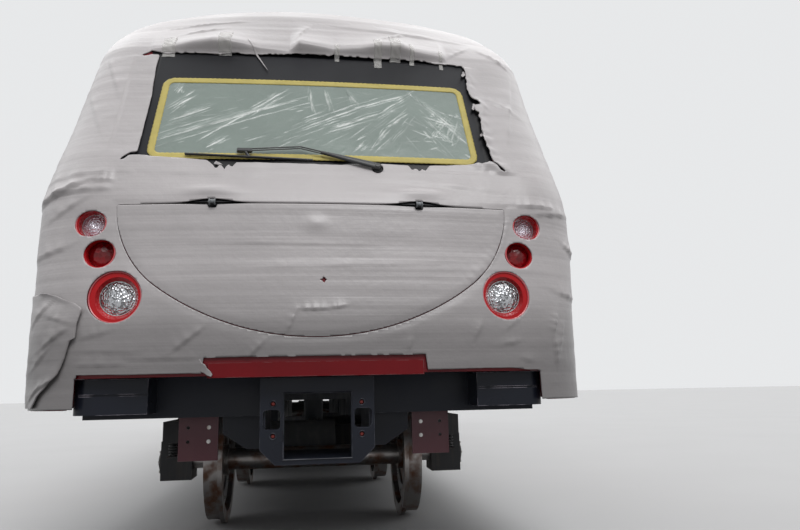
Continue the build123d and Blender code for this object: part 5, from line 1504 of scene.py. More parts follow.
class METRO_OT_side_windows(PieceOperator):
    """Rubber strips round the side windows, and the opening vents over them"""
    bl_idname = "metro.side_windows"
    bl_label = "Side window rubbers"

    def make(self, looks):
        strips, vents, bars = Solids(), Solids(), Solids()
        for _, side in SIDES:
            for centre, half in SIDE_OPENINGS:
                for gap, inset, radius in ((0.004, 0.006, 0.0075), (0.020, 0.014, 0.0045)):
                    corner = OPENING_R - 0.012 if gap > 0.01 else OPENING_R
                    strips.hoop(outline_on_side(side, centre, half - gap, OPENING_LOW + gap,
                                                OPENING_HIGH - gap, corner, inset), radius)
                low = OPENING_HIGH - 0.250
                for z in (low, low - 0.016):
                    x = side * (side_x(z) - 0.009)
                    bars.pipe([(x, centre - half + 0.02, z), (x, centre + half - 0.02, z)], 0.0055)
                x = side * (side_x(low + 0.05) - 0.008)
                for y in (centre - 0.5 * half, centre + 0.5 * half):
                    vents.box((x - 0.006, y - 0.035, low + 0.03), (x + 0.006, y + 0.035, low + 0.05), 0.004)
        finish_all([("side_window_rubbers", strips, "black_rubber"),
                    ("side_window_bars", bars, "bright_steel"),
                    ("side_window_catches", vents, "black_gloss", None)])


class METRO_OT_door_fittings(PieceOperator):
    """Panes, rubbers, press lines, sills and warning lamps' covers of the passenger doors"""
    bl_idname = "metro.door_fittings"
    bl_label = "Passenger door fittings"

    def make(self, looks):
        for side_name, side in SIDES:
            for number, centre in enumerate(DOORWAYS, 1):
                for end, sign in (("front", -1), ("rear", 1)):
                    self.fit_leaf(f"door_{side_name}_{number}_{end}", side, centre, sign)
        sills, lamps = Solids(), Solids()
        z = DOORWAY_TOP + 0.055
        for _, side in SIDES:
            for centre in DOORWAYS:
                low_y, high_y = centre - DOORWAY_HALF, centre + DOORWAY_HALF
                sills.box((side * 1.412, low_y + 0.004, 1.124), (side * 1.4985, high_y - 0.004, 1.1345),
                          0.002)
                for k in range(5):
                    x = side * (1.425 + 0.015 * k)
                    sills.box((x - 0.003, low_y + 0.02, 1.134), (x + 0.003, high_y - 0.02, 1.1365), 0.001)
                lamps.lathe((side * (side_x(z) - 0.002), centre, z), (side, 0, 0.087),
                            [(0.030, 0.0), (0.030, 0.006), (0.024, 0.014), (0.012, 0.019), (0.001, 0.020)],
                            32)
        finish_all([("door_sills", sills, "bright_steel"), ("door_lamps", lamps, "lens_red")])

    def fit_leaf(self, body, side, centre, sign):
        """Pane, edge rubber, screw caps and press lines of one leaf of a doorway."""
        near, far = centre + sign * 0.133, centre + sign * 0.520
        half = abs(far - near) / 2
        fit_pane(body, side, (near + far) / 2, half + 0.004, half - 0.003)
        edge, lines = Solids(), Solids()
        meet = centre + sign * 0.0165
        edge.pipe([(side * (side_x(z) - 0.045), meet, z) for z in np.linspace(1.095, 3.06, 12)], 0.0135,
                  sides=14)
        for z in (1.42, 1.62):
            x, y = side * (side_x(z) - LEAF_OUTER), centre + sign * 0.075
            edge.rod((x - side * 0.001, y, z), (x + side * 0.003, y, z), 0.014, sides=24, bevel=0.001)
        for z in (1.30, 1.86, 2.92):
            x = side * (side_x(z) - LEAF_OUTER)
            lines.box((x - 0.002, min(near, far) - 0.04, z - 0.012),
                      (x + 0.002, max(near, far) + 0.03, z + 0.012), 0.0015)
        finish_all([("_edge_rubber", edge, "black_rubber"), ("_press_lines", lines, "door_paint")],
                   body, body)


class METRO_OT_cab_doors(PieceOperator):
    """Panes, handles and rubbers of the driver's side doors"""
    bl_idname = "metro.cab_doors"
    bl_label = "Cab door fittings"

    def make(self, looks):
        for side_name, side in SIDES:
            body = "cab_door_" + side_name
            fit_pane(body, side, CAB_DOOR_Y, 0.169, 0.162)
            handle = Solids()
            x, y = side * (1.5 - LEAF_OUTER), CAB_DOOR_Y + 0.19
            handle.hoop([(x, y - 0.045, 1.70), (x, y + 0.045, 1.70), (x, y + 0.045, 1.86),
                         (x, y - 0.045, 1.86)],
                        0.0025)
            handle.rod((x, y, 1.70), (x, y, 1.86), 0.0030, sides=16)
            handle.rod((x, y, 1.66), (x + side * 0.0025, y, 1.66), 0.013, sides=24, bevel=0.001)
            handle.finish(body + "_handle", "bright_steel", body)


class METRO_OT_side_trim(PieceOperator):
    """Rain gutters, sill strips, panel joints and jacking plates of the sides"""
    bl_idname = "metro.side_trim"
    bl_label = "Side trim"

    def make(self, looks):
        gutters, strips, plates, joints = Solids(), Solids(), Solids(), Solids()
        ends = [-7.55, *[c + s * (DOORWAY_HALF + 0.012) for c in DOORWAYS for s in (-1, 1)], 8.59]
        for _, side in SIDES:
            x = side * (side_x(GUTTER_Z) + 0.006)
            gutters.box((x - 0.010, -7.52, GUTTER_Z - 0.014), (x + 0.010, 8.58, GUTTER_Z + 0.012), 0.004)
            for centre in DOORWAYS:
                gutters.box((x - 0.004, centre - 0.75, GUTTER_Z - 0.030),
                            (x + 0.016, centre + 0.75, GUTTER_Z - 0.012), 0.004)
            for start, end in zip(ends[::2], ends[1::2]):
                for z, high in ((0.925, 0.018), (1.060, 0.012), (1.975, 0.010)):
                    if start < -7.0 and z > 1.0:
                        start = CAB_DOOR_Y + CAB_DOOR_HALF + 0.012
                    strips.box((side * 1.494, start, z - high / 2), (side * 1.5035, end, z + high / 2), 0.002)
            for y in (-5.80, 5.80):
                plates.box((side * 1.495, y - 0.16, 0.895), (side * 1.504, y + 0.16, 0.985), 0.003)
                for dy in (-0.12, 0.12):
                    plates.bolt((side * 1.4995, y + dy, 0.940), (side, 0, 0), 0.009, 0.001)
            for y in (-6.30, -3.72, -0.95, 1.12, 4.10, 6.12, 8.35):
                for low, high in ((0.90, 1.47), (1.47, 2.04)):
                    joints.box((side * 1.5 - 0.0015, y - 0.003, low), (side * 1.5 + 0.0015, y + 0.003, high),
                               0.0006)
        finish_all([("rain_gutters", gutters, "roof_grey"), ("side_strips", strips, "side_paint"),
                    ("jacking_plates", plates, "underframe_grey"), ("side_joints", joints, "black_rubber")])


# Roof

COOLERS = (-3.400, 3.400)
COOLER_HALF, COOLER_TOP = 0.948, 3.940
ARCH_RISE, ARCH_HALF = CROWN_Z - SHOULDER_Z, HALF_WIDTH - SHOULDER_LEAN
ARCH_R = (ARCH_HALF ** 2 + ARCH_RISE ** 2) / (2 * ARCH_RISE)


def roof_z(x):
    """Height of the roof's arch beside the middle."""
    return CROWN_Z - ARCH_R + sqrt(ARCH_R ** 2 - x ** 2)


class METRO_OT_roof_coolers(PieceOperator):
    """Roof coolers: sloped housings with fan guards, side louvres and lifting eyes"""
    bl_idname = "metro.roof_coolers"
    bl_label = "Roof coolers"

    # Section of a housing: x and z
    SECTION = [(-COOLER_HALF, 3.53), (COOLER_HALF, 3.53), (COOLER_HALF, 3.835),
               (0.842, COOLER_TOP), (-0.842, COOLER_TOP), (-COOLER_HALF, 3.835)]

    def make(self, looks):
        shell, guards, slats, wells = Solids(), Solids(), Solids(), Solids()
        for middle in COOLERS:
            self.add_housing(shell.mesh, middle)
            for y in (middle - 0.65, middle + 0.65):
                # Near-black disc under the fan guard: painted shade of the fan well's depth
                wells.rod((0, y, COOLER_TOP - 0.005), (0, y, COOLER_TOP + 0.0025), 0.40, sides=64)
                guards.lathe((0, y, COOLER_TOP - 0.002), (0, 0, 1),
                             [(0.40, 0.0), (0.43, 0.003), (0.43, 0.012), (0.40, 0.016), (0.39, 0.004)], 72)
                for radius in (0.07, 0.13, 0.19, 0.25, 0.31, 0.37):
                    guards.hoop(around((0, y, COOLER_TOP + 0.013), 2, radius, 48), 0.0035, sides=6)
                spokes = around((0, y, COOLER_TOP + 0.010), 2, 0.41, 12)
                for a, b in zip(spokes[:6], spokes[6:]):
                    guards.pipe([a, b], 0.004, sides=6)
            for side in (-1, 1):
                for y in (middle - 1.15, middle - 0.38, middle + 0.39):
                    for k in range(11):
                        x, z = side * (COOLER_HALF - 0.002), 3.60 + k * 0.019
                        slats.box((x - 0.004, y, z - 0.005), (x + 0.004, y + 0.72, z + 0.005), 0.002,
                                  turn=(0, 22 * side, 0), segments=1)
                    shell.box((side * (COOLER_HALF - 0.0035), y - 0.022, 3.575),
                              (side * (COOLER_HALF + 0.0015), y - 0.006, 3.815), 0.001)
                for y in (middle - 1.2, middle + 1.2):
                    guards.hoop([(side * 0.80, y + 0.022 * cos(t), COOLER_TOP + 0.018 * max(-0.2, sin(t)))
                                 for t in np.linspace(0, 2 * pi, 17)[:-1]], 0.004)
                    for x in (-0.6, 0.0, 0.6):
                        shell.bolt((x, y + 0.07 * side, COOLER_TOP - 0.0005), (0, 0, 1), 0.009, 0.005)
        housing, *_ = finish_all([
            ("cooler_housings", shell, "roof_grey"), ("cooler_fan_guards", guards, "bright_steel"),
            ("cooler_louvres", slats, "underframe_grey", None), ("cooler_fan_wells", wells, "dark_hole")])
        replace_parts(housing, "roof_coolers")

    def add_housing(self, mesh, middle):
        """Closed housing with rounded edges, drawn out from its section."""
        front, rear = ([mesh.verts.new((x, y, z)) for x, z in self.SECTION]
                       for y in (middle - 1.298, middle + 1.298))
        faces = [mesh.faces.new(front), mesh.faces.new(list(reversed(rear)))]
        for k in range(6):
            faces.append(mesh.faces.new((front[k], rear[k], rear[(k + 1) % 6], front[(k + 1) % 6])))
        edges = list({e for f in faces for e in f.edges})
        bmesh.ops.bevel(mesh, geom=edges, offset=0.014, segments=3, affect="EDGES")


class METRO_OT_roof_fittings(PieceOperator):
    """Roof joints, cable pipe, vents, aerial foot and walk strips"""
    bl_idname = "metro.roof_fittings"
    bl_label = "Roof fittings"

    def make(self, looks):
        ribs, pipes, vents, strips = Solids(), Solids(), Solids(), Solids()
        for y in (-6.9, -5.9, -5.1, -1.4, -0.4, 0.6, 1.6, 5.3, 6.3, 7.3, 8.2):
            ribs.pipe([(x, y, roof_z(x) + 0.001) for x in np.linspace(-1.30, 1.30, 41)], 0.007, sides=8)
        for x in (-0.62, 0.62):
            z = roof_z(x) + 0.030
            for start, end in ((-7.2, -4.75), (-2.05, 2.05), (4.75, 8.4)):
                pipes.pipe([(x, start, z - 0.05), (x, start + 0.10, z), (x, end - 0.10, z),
                            (x, end, z - 0.05)],
                           0.019, sides=16)
                for y in np.arange(start + 0.3, end - 0.2, 0.62):
                    pipes.box((x - 0.032, y - 0.018, z - 0.045), (x + 0.032, y + 0.018, z - 0.008), 0.004)
        for x, y in ((0.0, -1.0), (0.0, 1.0), (0.0, 6.0), (0.0, 7.6), (0.30, -6.4), (-0.30, -6.4)):
            vents.lathe((x, y, roof_z(x) - 0.004), (0, 0, 1),
                        [(0.145, 0.0), (0.145, 0.012), (0.095, 0.020), (0.090, 0.050), (0.150, 0.056),
                         (0.150, 0.068), (0.110, 0.088), (0.050, 0.098), (0.001, 0.100)], 48)
            for place in around((x, y, roof_z(x) + 0.006), 2, 0.128, 8):
                vents.bolt(place, (0, 0, 1), 0.007, 0.004)
        z = roof_z(0.0)
        vents.box((-0.17, -5.62, z - 0.004), (0.17, -5.38, z + 0.012), 0.005)
        vents.lathe((0.0, -5.50, z + 0.010), (0, 0, 1),
                    [(0.075, 0.0), (0.070, 0.030), (0.050, 0.070), (0.030, 0.098), (0.001, 0.105)], 40)
        for x in (-1.02, 1.02):
            for start, end in ((-7.3, -0.2), (0.2, 8.3)):
                for k in range(6):
                    at = x + (k - 2.5) * 0.034
                    strips.box((at - 0.008, start, roof_z(at) - 0.004), (at + 0.008, end, roof_z(at) + 0.006),
                               0.002, segments=1)
        finish_all([("roof_joints", ribs, "roof_grey"), ("roof_cable_pipes", pipes, "underframe_grey"),
                    ("roof_vents", vents, "roof_grey"), ("roof_walk_strips", strips, "black_rubber")])


# Under the floor

CASES = [(-3.700, -1.500), (-1.300, 0.900), (1.100, 3.700)]
CASE_FACE = 1.300


class METRO_OT_case_fittings(PieceOperator):
    """Doors, catches, vents, ribs and hangers of the equipment cases"""
    bl_idname = "metro.case_fittings"
    bl_label = "Case fittings"

    def make(self, looks):
        doors, catches, slots, hangers = Solids(), Solids(), Solids(), Solids()
        for side in (-1, 1):
            def out(depth):
                """X of a place that stands out from the case's face."""
                return side * (CASE_FACE + depth)

            for low, high in CASES:
                count = 2 if high - low < 2.4 else 3
                width = (high - low - 0.10) / count
                for k in range(count):
                    y0 = low + 0.05 + k * width + 0.02
                    y1 = y0 + width - 0.04
                    doors.box((out(-0.004), y0, 0.435), (out(0.010), y1, 0.985), 0.005)
                    for z in (0.475, 0.920):
                        doors.box((out(0.008), y0 + 0.04, z), (out(0.0145), y1 - 0.04, z + 0.025), 0.003)
                    for y in (y0 + 0.12, y1 - 0.12):
                        catches.box((out(0), y - 0.022, 0.945), (out(0.024), y + 0.022, 1.000), 0.005)
                        catches.rod((out(0.016), y - 0.034, 0.428), (out(0.016), y + 0.034, 0.428), 0.010,
                                    sides=16, bevel=0.001)
                    if (k + (low > 0)) % 2 == 0:
                        for z in (0.600 + j * 0.026 for j in range(9)):
                            slots.box((out(0.008), y0 + 0.12, z - 0.007), (out(0.016), y1 - 0.12, z + 0.007),
                                      0.003, turn=(0, 18 * side, 0), segments=1)
                for y in (low + 0.12, high - 0.12):
                    hangers.box((out(-0.05), y - 0.045, 1.000), (out(-0.01), y + 0.045, 1.062), 0.004)
                    for dy in (-0.022, 0.022):
                        hangers.bolt((out(-0.0105), y + dy, 1.030), (side, 0, 0), 0.009, 0.007)
        finish_all([("case_doors", doors, "underframe_grey"), ("case_catches", catches, "bright_steel"),
                    ("case_vents", slots, "underframe_black", None),
                    ("case_hangers", hangers, "underframe_black")])


class METRO_OT_pipes(PieceOperator):
    """Air and cable pipes along the floor frame, with their clips"""
    bl_idname = "metro.pipes"
    bl_label = "Pipes"

    def make(self, looks):
        pipes, clips = Solids(), Solids()
        # X, height, radius, and how far the pipe runs to the front and to the rear
        for x, z, radius, start, end in ((0.30, 1.012, 0.022, -7.9, 7.9), (0.36, 1.020, 0.014, -7.9, 7.9),
                                         (-0.30, 1.012, 0.022, -7.9, 7.9), (-0.36, 1.018, 0.017, -7.9, 7.9),
                                         (1.345, 1.018, 0.019, -4.2, 4.3), (-1.345, 1.018, 0.019, -4.2, 4.3)):
            for a, b in ((start, -6.15), (max(-5.45, start), min(5.45, end)), (6.15, end)):
                if b - a < 0.5:
                    continue
                pipes.pipe([(x, a, z), (x, b, z)], radius, sides=14)
                for y in np.arange(a + 0.25, b, 0.85):
                    clips.box((x - radius - 0.010, y - 0.014, z + radius * 0.2),
                              (x + radius + 0.010, y + 0.014, 1.052), 0.003)
        finish_all([("floor_pipes", pipes, "bolt_steel"), ("pipe_clips", clips, "underframe_black")])


class METRO_OT_front_underparts(PieceOperator):
    """Bolts and weld beads of the coupler pocket and the guard brackets"""
    bl_idname = "metro.front_underparts"
    bl_label = "Front underpart fittings"

    def make(self, looks):
        bolts, plugs, beads = Solids(), Solids(), Solids()
        face = NOSE_Y + 0.110
        for side in (-1, 1):
            for z in (0.736, 0.895):
                plugs.lathe((side * 0.223, face + 0.014, z), (0, -1, 0),
                            [(0.0125, -0.010), (0.0125, 0.0), (0.009, 0.004), (0.008, 0.008), (0.001, 0.009)],
                            28)
                beads.hoop(around((side * 0.223, face - 0.0010, z), 1, 0.0155, 32), 0.0028)
            for dz in (-0.0375, 0.0375):
                bolts.bolt((side * 0.585, NOSE_Y + 0.480, 0.735 + dz), (0, -1, 0), 0.0095, 0.008)
        half_width, middle, half_height = 0.168 * 1.025, 0.7835, 0.1595 * 1.025
        beads.hoop([(x * half_width, face - 0.001, middle + z * half_height)
                    for x, z in ((-1, -1), (1, -1), (1, 1), (-1, 1))], 0.005)
        finish_all([("front_bolts", bolts, "bolt_steel"), ("pocket_plugs", plugs, "red_lead"),
                    ("pocket_beads", beads, "underframe_black")])
        # Anticlimbers' paint, with painted highlights laid along their edges as rubbed edges
        for place in frame["nodes"]["anticlimbers"].material_slots:
            place.material = finish("climber_black")


# Bogies

BOGIES = (("bogie_front", -5.800, 1), ("bogie_rear", 5.800, -1))
AXLES = {"wheelset_1": -6.900, "wheelset_2": -4.700, "wheelset_3": 4.700, "wheelset_4": 6.900}
AXLE_Z = 0.458


class METRO_OT_bogie_fittings(PieceOperator):
    """Springs, axle covers, dampers, brake parts and bolts of the bogies"""
    bl_idname = "metro.bogie_fittings"
    bl_label = "Bogie fittings"

    def make(self, looks):
        for body, middle, turn in BOGIES:
            springs, covers, dampers, bolts, brakes = Solids(), Solids(), Solids(), Solids(), Solids()
            for side in (-1, 1):
                for toward_middle, axle in ((1, middle - 1.100), (-1, middle + 1.100)):
                    self.dress_axle_box(side, axle, covers, bolts, springs)
                    x, y = side * 0.815, axle + toward_middle * 0.505
                    brakes.box((x - 0.055, y - 0.030, 0.400), (x + 0.085, y + 0.060, 0.560), 0.012)
                    brakes.box((x - 0.150, y - 0.046, 0.425), (x - 0.050, y - 0.006, 0.505), 0.008)
                    brakes.rod((x + 0.02, y + 0.02, 0.56), (x + 0.02, y + 0.02, 0.66), 0.022, sides=18)
                foot, head = (Vector((side * 1.118, middle - 0.33 * turn, z)) for z in (0.560, 0.835))
                dampers.rod(foot, foot.lerp(head, 0.62), 0.026, sides=24, bevel=0.003)
                dampers.rod(foot.lerp(head, 0.60), head, 0.034, sides=24, bevel=0.003)
                covers.box(foot - Vector((0.045, 0.05, 0.04)), foot + Vector((0.022, 0.05, 0.0)), 0.006)
                for y in (middle - 0.62, middle + 0.62):
                    for dz in (-0.045, 0.045):
                        bolts.bolt((side * 1.085, y, 0.575 + dz), (side, 0, 0), 0.012, 0.010)
                dampers.pipe([(side * 1.045, middle + y, z)
                              for y, z in ((-0.75, 0.655), (-0.60, 0.668), (0.60, 0.668), (0.75, 0.655))],
                             0.010)
            finish_all([("_axle_springs", springs, "black_rubber"), ("_axle_covers", covers, "bogie_black"),
                        ("_dampers", dampers, "underframe_grey"), ("_bolts", bolts, "bolt_steel"),
                        ("_brakes", brakes, "motor_grey")], body, body)
        for body, middle, _ in BOGIES:
            self.dress_motors(body, middle)

    def dress_axle_box(self, side, axle, covers, bolts, springs):
        """Cover with its bolts on one axle box, and the rubber springs beside it."""
        centre = Vector((side * 1.130, axle, AXLE_Z))
        covers.lathe(centre, (side, 0, 0), [(0.105, -0.004), (0.105, 0.010), (0.098, 0.016), (0.060, 0.018),
                                            (0.052, 0.030), (0.001, 0.032)], 48)
        for place in around(centre + Vector((side * 0.014, 0, 0)), 0, 0.082, 6):
            bolts.bolt(place, (side, 0, 0), 0.011, 0.009)
        for y in (axle - 0.175, axle + 0.175):
            for k in range(5):
                springs.lathe((side * 1.02, y, 0.508 + k * 0.021), (0, 0, 1),
                              [(0.030, 0.0), (0.046, 0.004), (0.050, 0.0095), (0.046, 0.015), (0.030, 0.019)],
                              36)
            covers.box((side * 1.02 - 0.055, y - 0.055, 0.494), (side * 1.02 + 0.055, y + 0.055, 0.508),
                       0.004)

    def dress_motors(self, body, middle):
        """Cooling fins and cable boxes of a bogie's two motors."""
        fins, boxes = Solids(), Solids()
        for y, low_x in ((middle - 0.440, -0.520), (middle + 0.440, -0.180)):
            for k in range(13):
                fins.lathe((low_x + 0.060 + k * 0.046, y, 0.520), (1, 0, 0),
                           [(0.186, 0.0), (0.1985, 0.002), (0.1985, 0.012), (0.186, 0.014)], 56)
            boxes.box((low_x + 0.22, y - 0.07, 0.700), (low_x + 0.44, y + 0.07, 0.742), 0.010)
            for dx in (0.25, 0.41):
                boxes.bolt((low_x + dx, y, 0.742), (0, 0, 1), 0.008, 0.006)
        finish_all([("_motor_fins", fins, "motor_grey"), ("_motor_boxes", boxes, "motor_grey")], body, body)


class METRO_OT_wheel_fittings(PieceOperator):
    """Brake rings of the wheels, with their bolts"""
    bl_idname = "metro.wheel_fittings"
    bl_label = "Wheel fittings"

    def make(self, looks):
        for body, y in AXLES.items():
            rings, bolts = Solids(), Solids()
            for side in (-1, 1):
                for face, out in ((0.731, 1), (0.695, -1)):
                    axis = (side * out, 0, 0)
                    rings.lathe((side * face, y, AXLE_Z), axis, [(0.235, 0.0), (0.235, 0.008), (0.240, 0.012),
                                                                 (0.345, 0.012), (0.350, 0.008),
                                                                 (0.350, 0.0)], 72)
                    for place in around((side * (face + out * 0.011), y, AXLE_Z), 0, 0.292, 9):
                        bolts.bolt(place, axis, 0.011, 0.005)
            finish_all([("_brake_rings", rings, "bright_steel"), ("_ring_bolts", bolts, "bolt_steel")],
                       body, body)


# Inside

CEILING_LAMP_Z = 3.455


def cushion(name, middle, half, crown=0.3, turn=(0, 0, 0), channels=()):
    """Crowned closed pad: a rounded block whose faces swell, with sewn channels pressed in across it."""
    rows, columns = 48, 72
    matrix = Euler([radians(a) for a in turn]).to_matrix()

    def block(value):
        """Draws a round form out towards a block."""
        return np.sign(value) * abs(value) ** 0.32

    vertices = []
    for i in range(rows + 1):
        lat = -pi / 2 + pi * i / rows
        for j in range(columns):
            lon = 2 * pi * j / columns
            x, y, z = block(cos(lat)) * block(cos(lon)), block(cos(lat)) * block(sin(lon)), block(sin(lat))
            swell = 1 + crown * (1 - x * x) * (1 - y * y)
            for place in channels:
                swell *= 1 - 0.22 * bell(x - place, 0.045)
            pull = 1 - 0.035 * (1 - abs(z)) * (np.cos(3 * x) * np.cos(3 * y)) ** 2
            point = Vector((x * half[0] * pull, y * half[1] * pull, z * half[2] * swell / (1 + crown)))
            vertices.append(Vector(middle) + matrix @ point)
    piece = link_mesh(name, vertices, grid_faces(rows + 1, columns, closed=True))
    mesh = bmesh.new()
    mesh.from_mesh(piece.data)
    bmesh.ops.remove_doubles(mesh, verts=mesh.verts, dist=1e-5)
    bmesh.ops.recalc_face_normals(mesh, faces=mesh.faces)
    mesh.to_mesh(piece.data)
    mesh.free()
    dress(piece, "seat_fabric", "car")
    return piece


class METRO_OT_driver_seat(PieceOperator):
    """Driver's seat: stitched cushions on a plastic shell and a sprung pedestal"""
    bl_idname = "metro.driver_seat"
    bl_label = "Driver's seat"

    def make(self, looks):
        low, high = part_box("driver_seat")
        x, y, back_y = (low.x + high.x) / 2, (low.y + high.y) / 2, high.y - 0.075
        seams = (-0.42, 0.42)
        seat = cushion("driver_seat_cushion", (x, y - 0.02, 1.605), (0.225, 0.225, 0.055), channels=seams)
        cushion("driver_seat_back", (x, back_y, 1.930), (0.215, 0.255, 0.048), turn=(84, 0, 0),
                channels=seams)
        cushion("driver_seat_headrest", (x, back_y + 0.020, 2.205), (0.125, 0.062, 0.038), 0.25, (84, 0, 0))
        shell, post, bellows = Solids(), Solids(), Solids()
        shell.box((x - 0.215, y - 0.225, 1.540), (x + 0.215, y + 0.215, 1.562), 0.010)
        shell.box((x - 0.205, back_y + 0.030, 1.560), (x + 0.205, back_y + 0.048, 2.150), 0.012,
                  turn=(6, 0, 0))
        for side in (-1, 1):
            shell.box((x + side * 0.238 - 0.028, y - 0.14, 1.745), (x + side * 0.238, y + 0.14, 1.785), 0.012)
            shell.rod((x + side * 0.225, y + 0.15, 1.600), (x + side * 0.225, y + 0.13, 1.750), 0.014,
                      sides=16)
        post.lathe((x, y, FLOOR_TOP), (0, 0, 1), [(0.001, 0.0), (0.190, 0.0), (0.190, 0.012), (0.080, 0.022),
                                                 (0.058, 0.030), (0.055, 0.190), (0.001, 0.190)], 48)
        for place in around((x, y, FLOOR_TOP + 0.012), 2, 0.165, 8):
            post.bolt(place, (0, 0, 1), 0.009, 0.007)
        folds = [(radius, along + 0.028 * k)
                 for k in range(8) for radius, along in ((0.120, 0.180), (0.150, 0.194))]
        bellows.lathe((x, y, FLOOR_TOP), (0, 0, 1), [(0.05, 0.176), *folds, (0.10, 0.408)], 48)
        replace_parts(seat, "driver_seat")
        finish_all([("shell", shell, "desk_plastic"), ("post", post, "underframe_black", None),
                    ("bellows", bellows, "black_rubber")], prefix="driver_seat_")


class METRO_OT_desk_fittings(PieceOperator):
    """Screens, lever, switches and dials of the driver's desk"""
    bl_idname = "metro.desk_fittings"
    bl_label = "Desk fittings"

    def make(self, looks):
        low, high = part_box("driver_desk")
        y, top = low.y + 0.40, high.z
        screens, parts, knobs = Solids(), Solids(), Solids()
        for x in (-0.58, -0.16, 0.26):
            parts.box((x - 0.175, y - 0.06, top - 0.060), (x + 0.175, y + 0.02, top + 0.170), 0.012,
                      turn=(-24, 0, 0))
            screens.box((x - 0.150, y + 0.012, top - 0.030), (x + 0.150, y + 0.026, top + 0.145), 0.004,
                        turn=(-24, 0, 0))
        for k in range(12):
            x = -0.80 + 0.085 * k
            knobs.rod((x, y + 0.115, top - 0.075), (x, y + 0.122, top - 0.045), 0.011, sides=18, bevel=0.002)
        parts.box((0.60, y - 0.02, top - 0.08), (0.78, y + 0.22, top - 0.015), 0.015)
        knobs.rod((0.69, y + 0.10, top - 0.03), (0.69, y + 0.06, top + 0.100), 0.010, sides=16)
        knobs.lathe((0.69, y + 0.062, top + 0.088), (0, -0.28, 1),
                    [(0.001, 0.0), (0.024, 0.006), (0.030, 0.024), (0.022, 0.040), (0.001, 0.046)], 32)
        for x in (-0.99, -0.90):
            parts.lathe((x, y + 0.02, top - 0.02), (0, 0.45, 1),
                        [(0.038, 0.0), (0.040, 0.014), (0.034, 0.018), (0.032, 0.012), (0.001, 0.012)], 40)
        finish_all([("desk_housings", parts, "desk_plastic"), ("desk_screens", screens, "black_gloss", None),
                    ("desk_knobs", knobs, "black_rubber")])


class METRO_OT_saloon_fittings(PieceOperator):
    """Moulded bench seats, ceiling lamps and pole feet of the passengers' room"""
    bl_idname = "metro.saloon_fittings"
    bl_label = "Saloon fittings"

    def make(self, looks):
        seats, lamps, trays, feet = Solids(), Solids(), Solids(), Solids()
        for centre, half in SIDE_OPENINGS:
            count = 4 if half > 0.8 else 3
            width = 2 * half / count
            for side in (-1, 1):
                for k in range(count):
                    y0, y1 = centre - half + k * width + 0.006, centre - half + (k + 1) * width - 0.006
                    seats.box((side * 0.945, y0, 1.515), (side * 1.370, y1, 1.560), 0.020, (0, 3 * side, 0),
                              4)
                    seats.box((side * 1.350, y0, 1.575), (side * 1.392, y1, 2.035), 0.018, (0, 4 * side, 0),
                              4)
                seats.box((side * 1.17, centre - half + 0.05, FLOOR_TOP),
                          (side * 1.36, centre + half - 0.05, 1.52), 0.010)
        for x in (-0.42, 0.42):
            for y in np.arange(-6.35, 8.0, 1.62):
                lamps.box((x - 0.070, y, CEILING_LAMP_Z - 0.028), (x + 0.070, y + 1.50, CEILING_LAMP_Z),
                          0.012)
                trays.box((x - 0.095, y - 0.03, CEILING_LAMP_Z - 0.006),
                          (x + 0.095, y + 1.53, CEILING_LAMP_Z + 0.020), 0.006)
        for x in (-0.9, 0.9):
            for y in (-3.143, -1.457, 1.757, 3.443, 6.657, 8.193):
                feet.lathe((x, y, FLOOR_TOP), (0, 0, 1),
                           [(0.001, 0.0), (0.048, 0.0), (0.046, 0.008), (0.020, 0.022),
                                                         (0.019, 0.040), (0.001, 0.040)], 32)
        benches, *_ = finish_all([("saloon_seats", seats, "bench_plastic"),
                                  ("ceiling_lamps", lamps, "lamp_white"),
                                  ("ceiling_lamp_trays", trays, "lining"), ("pole_feet", feet, "pole_steel")])
        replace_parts(benches, "benches")


# Rear end

END_FACE, SOCKET_FACE = 8.672, 8.715


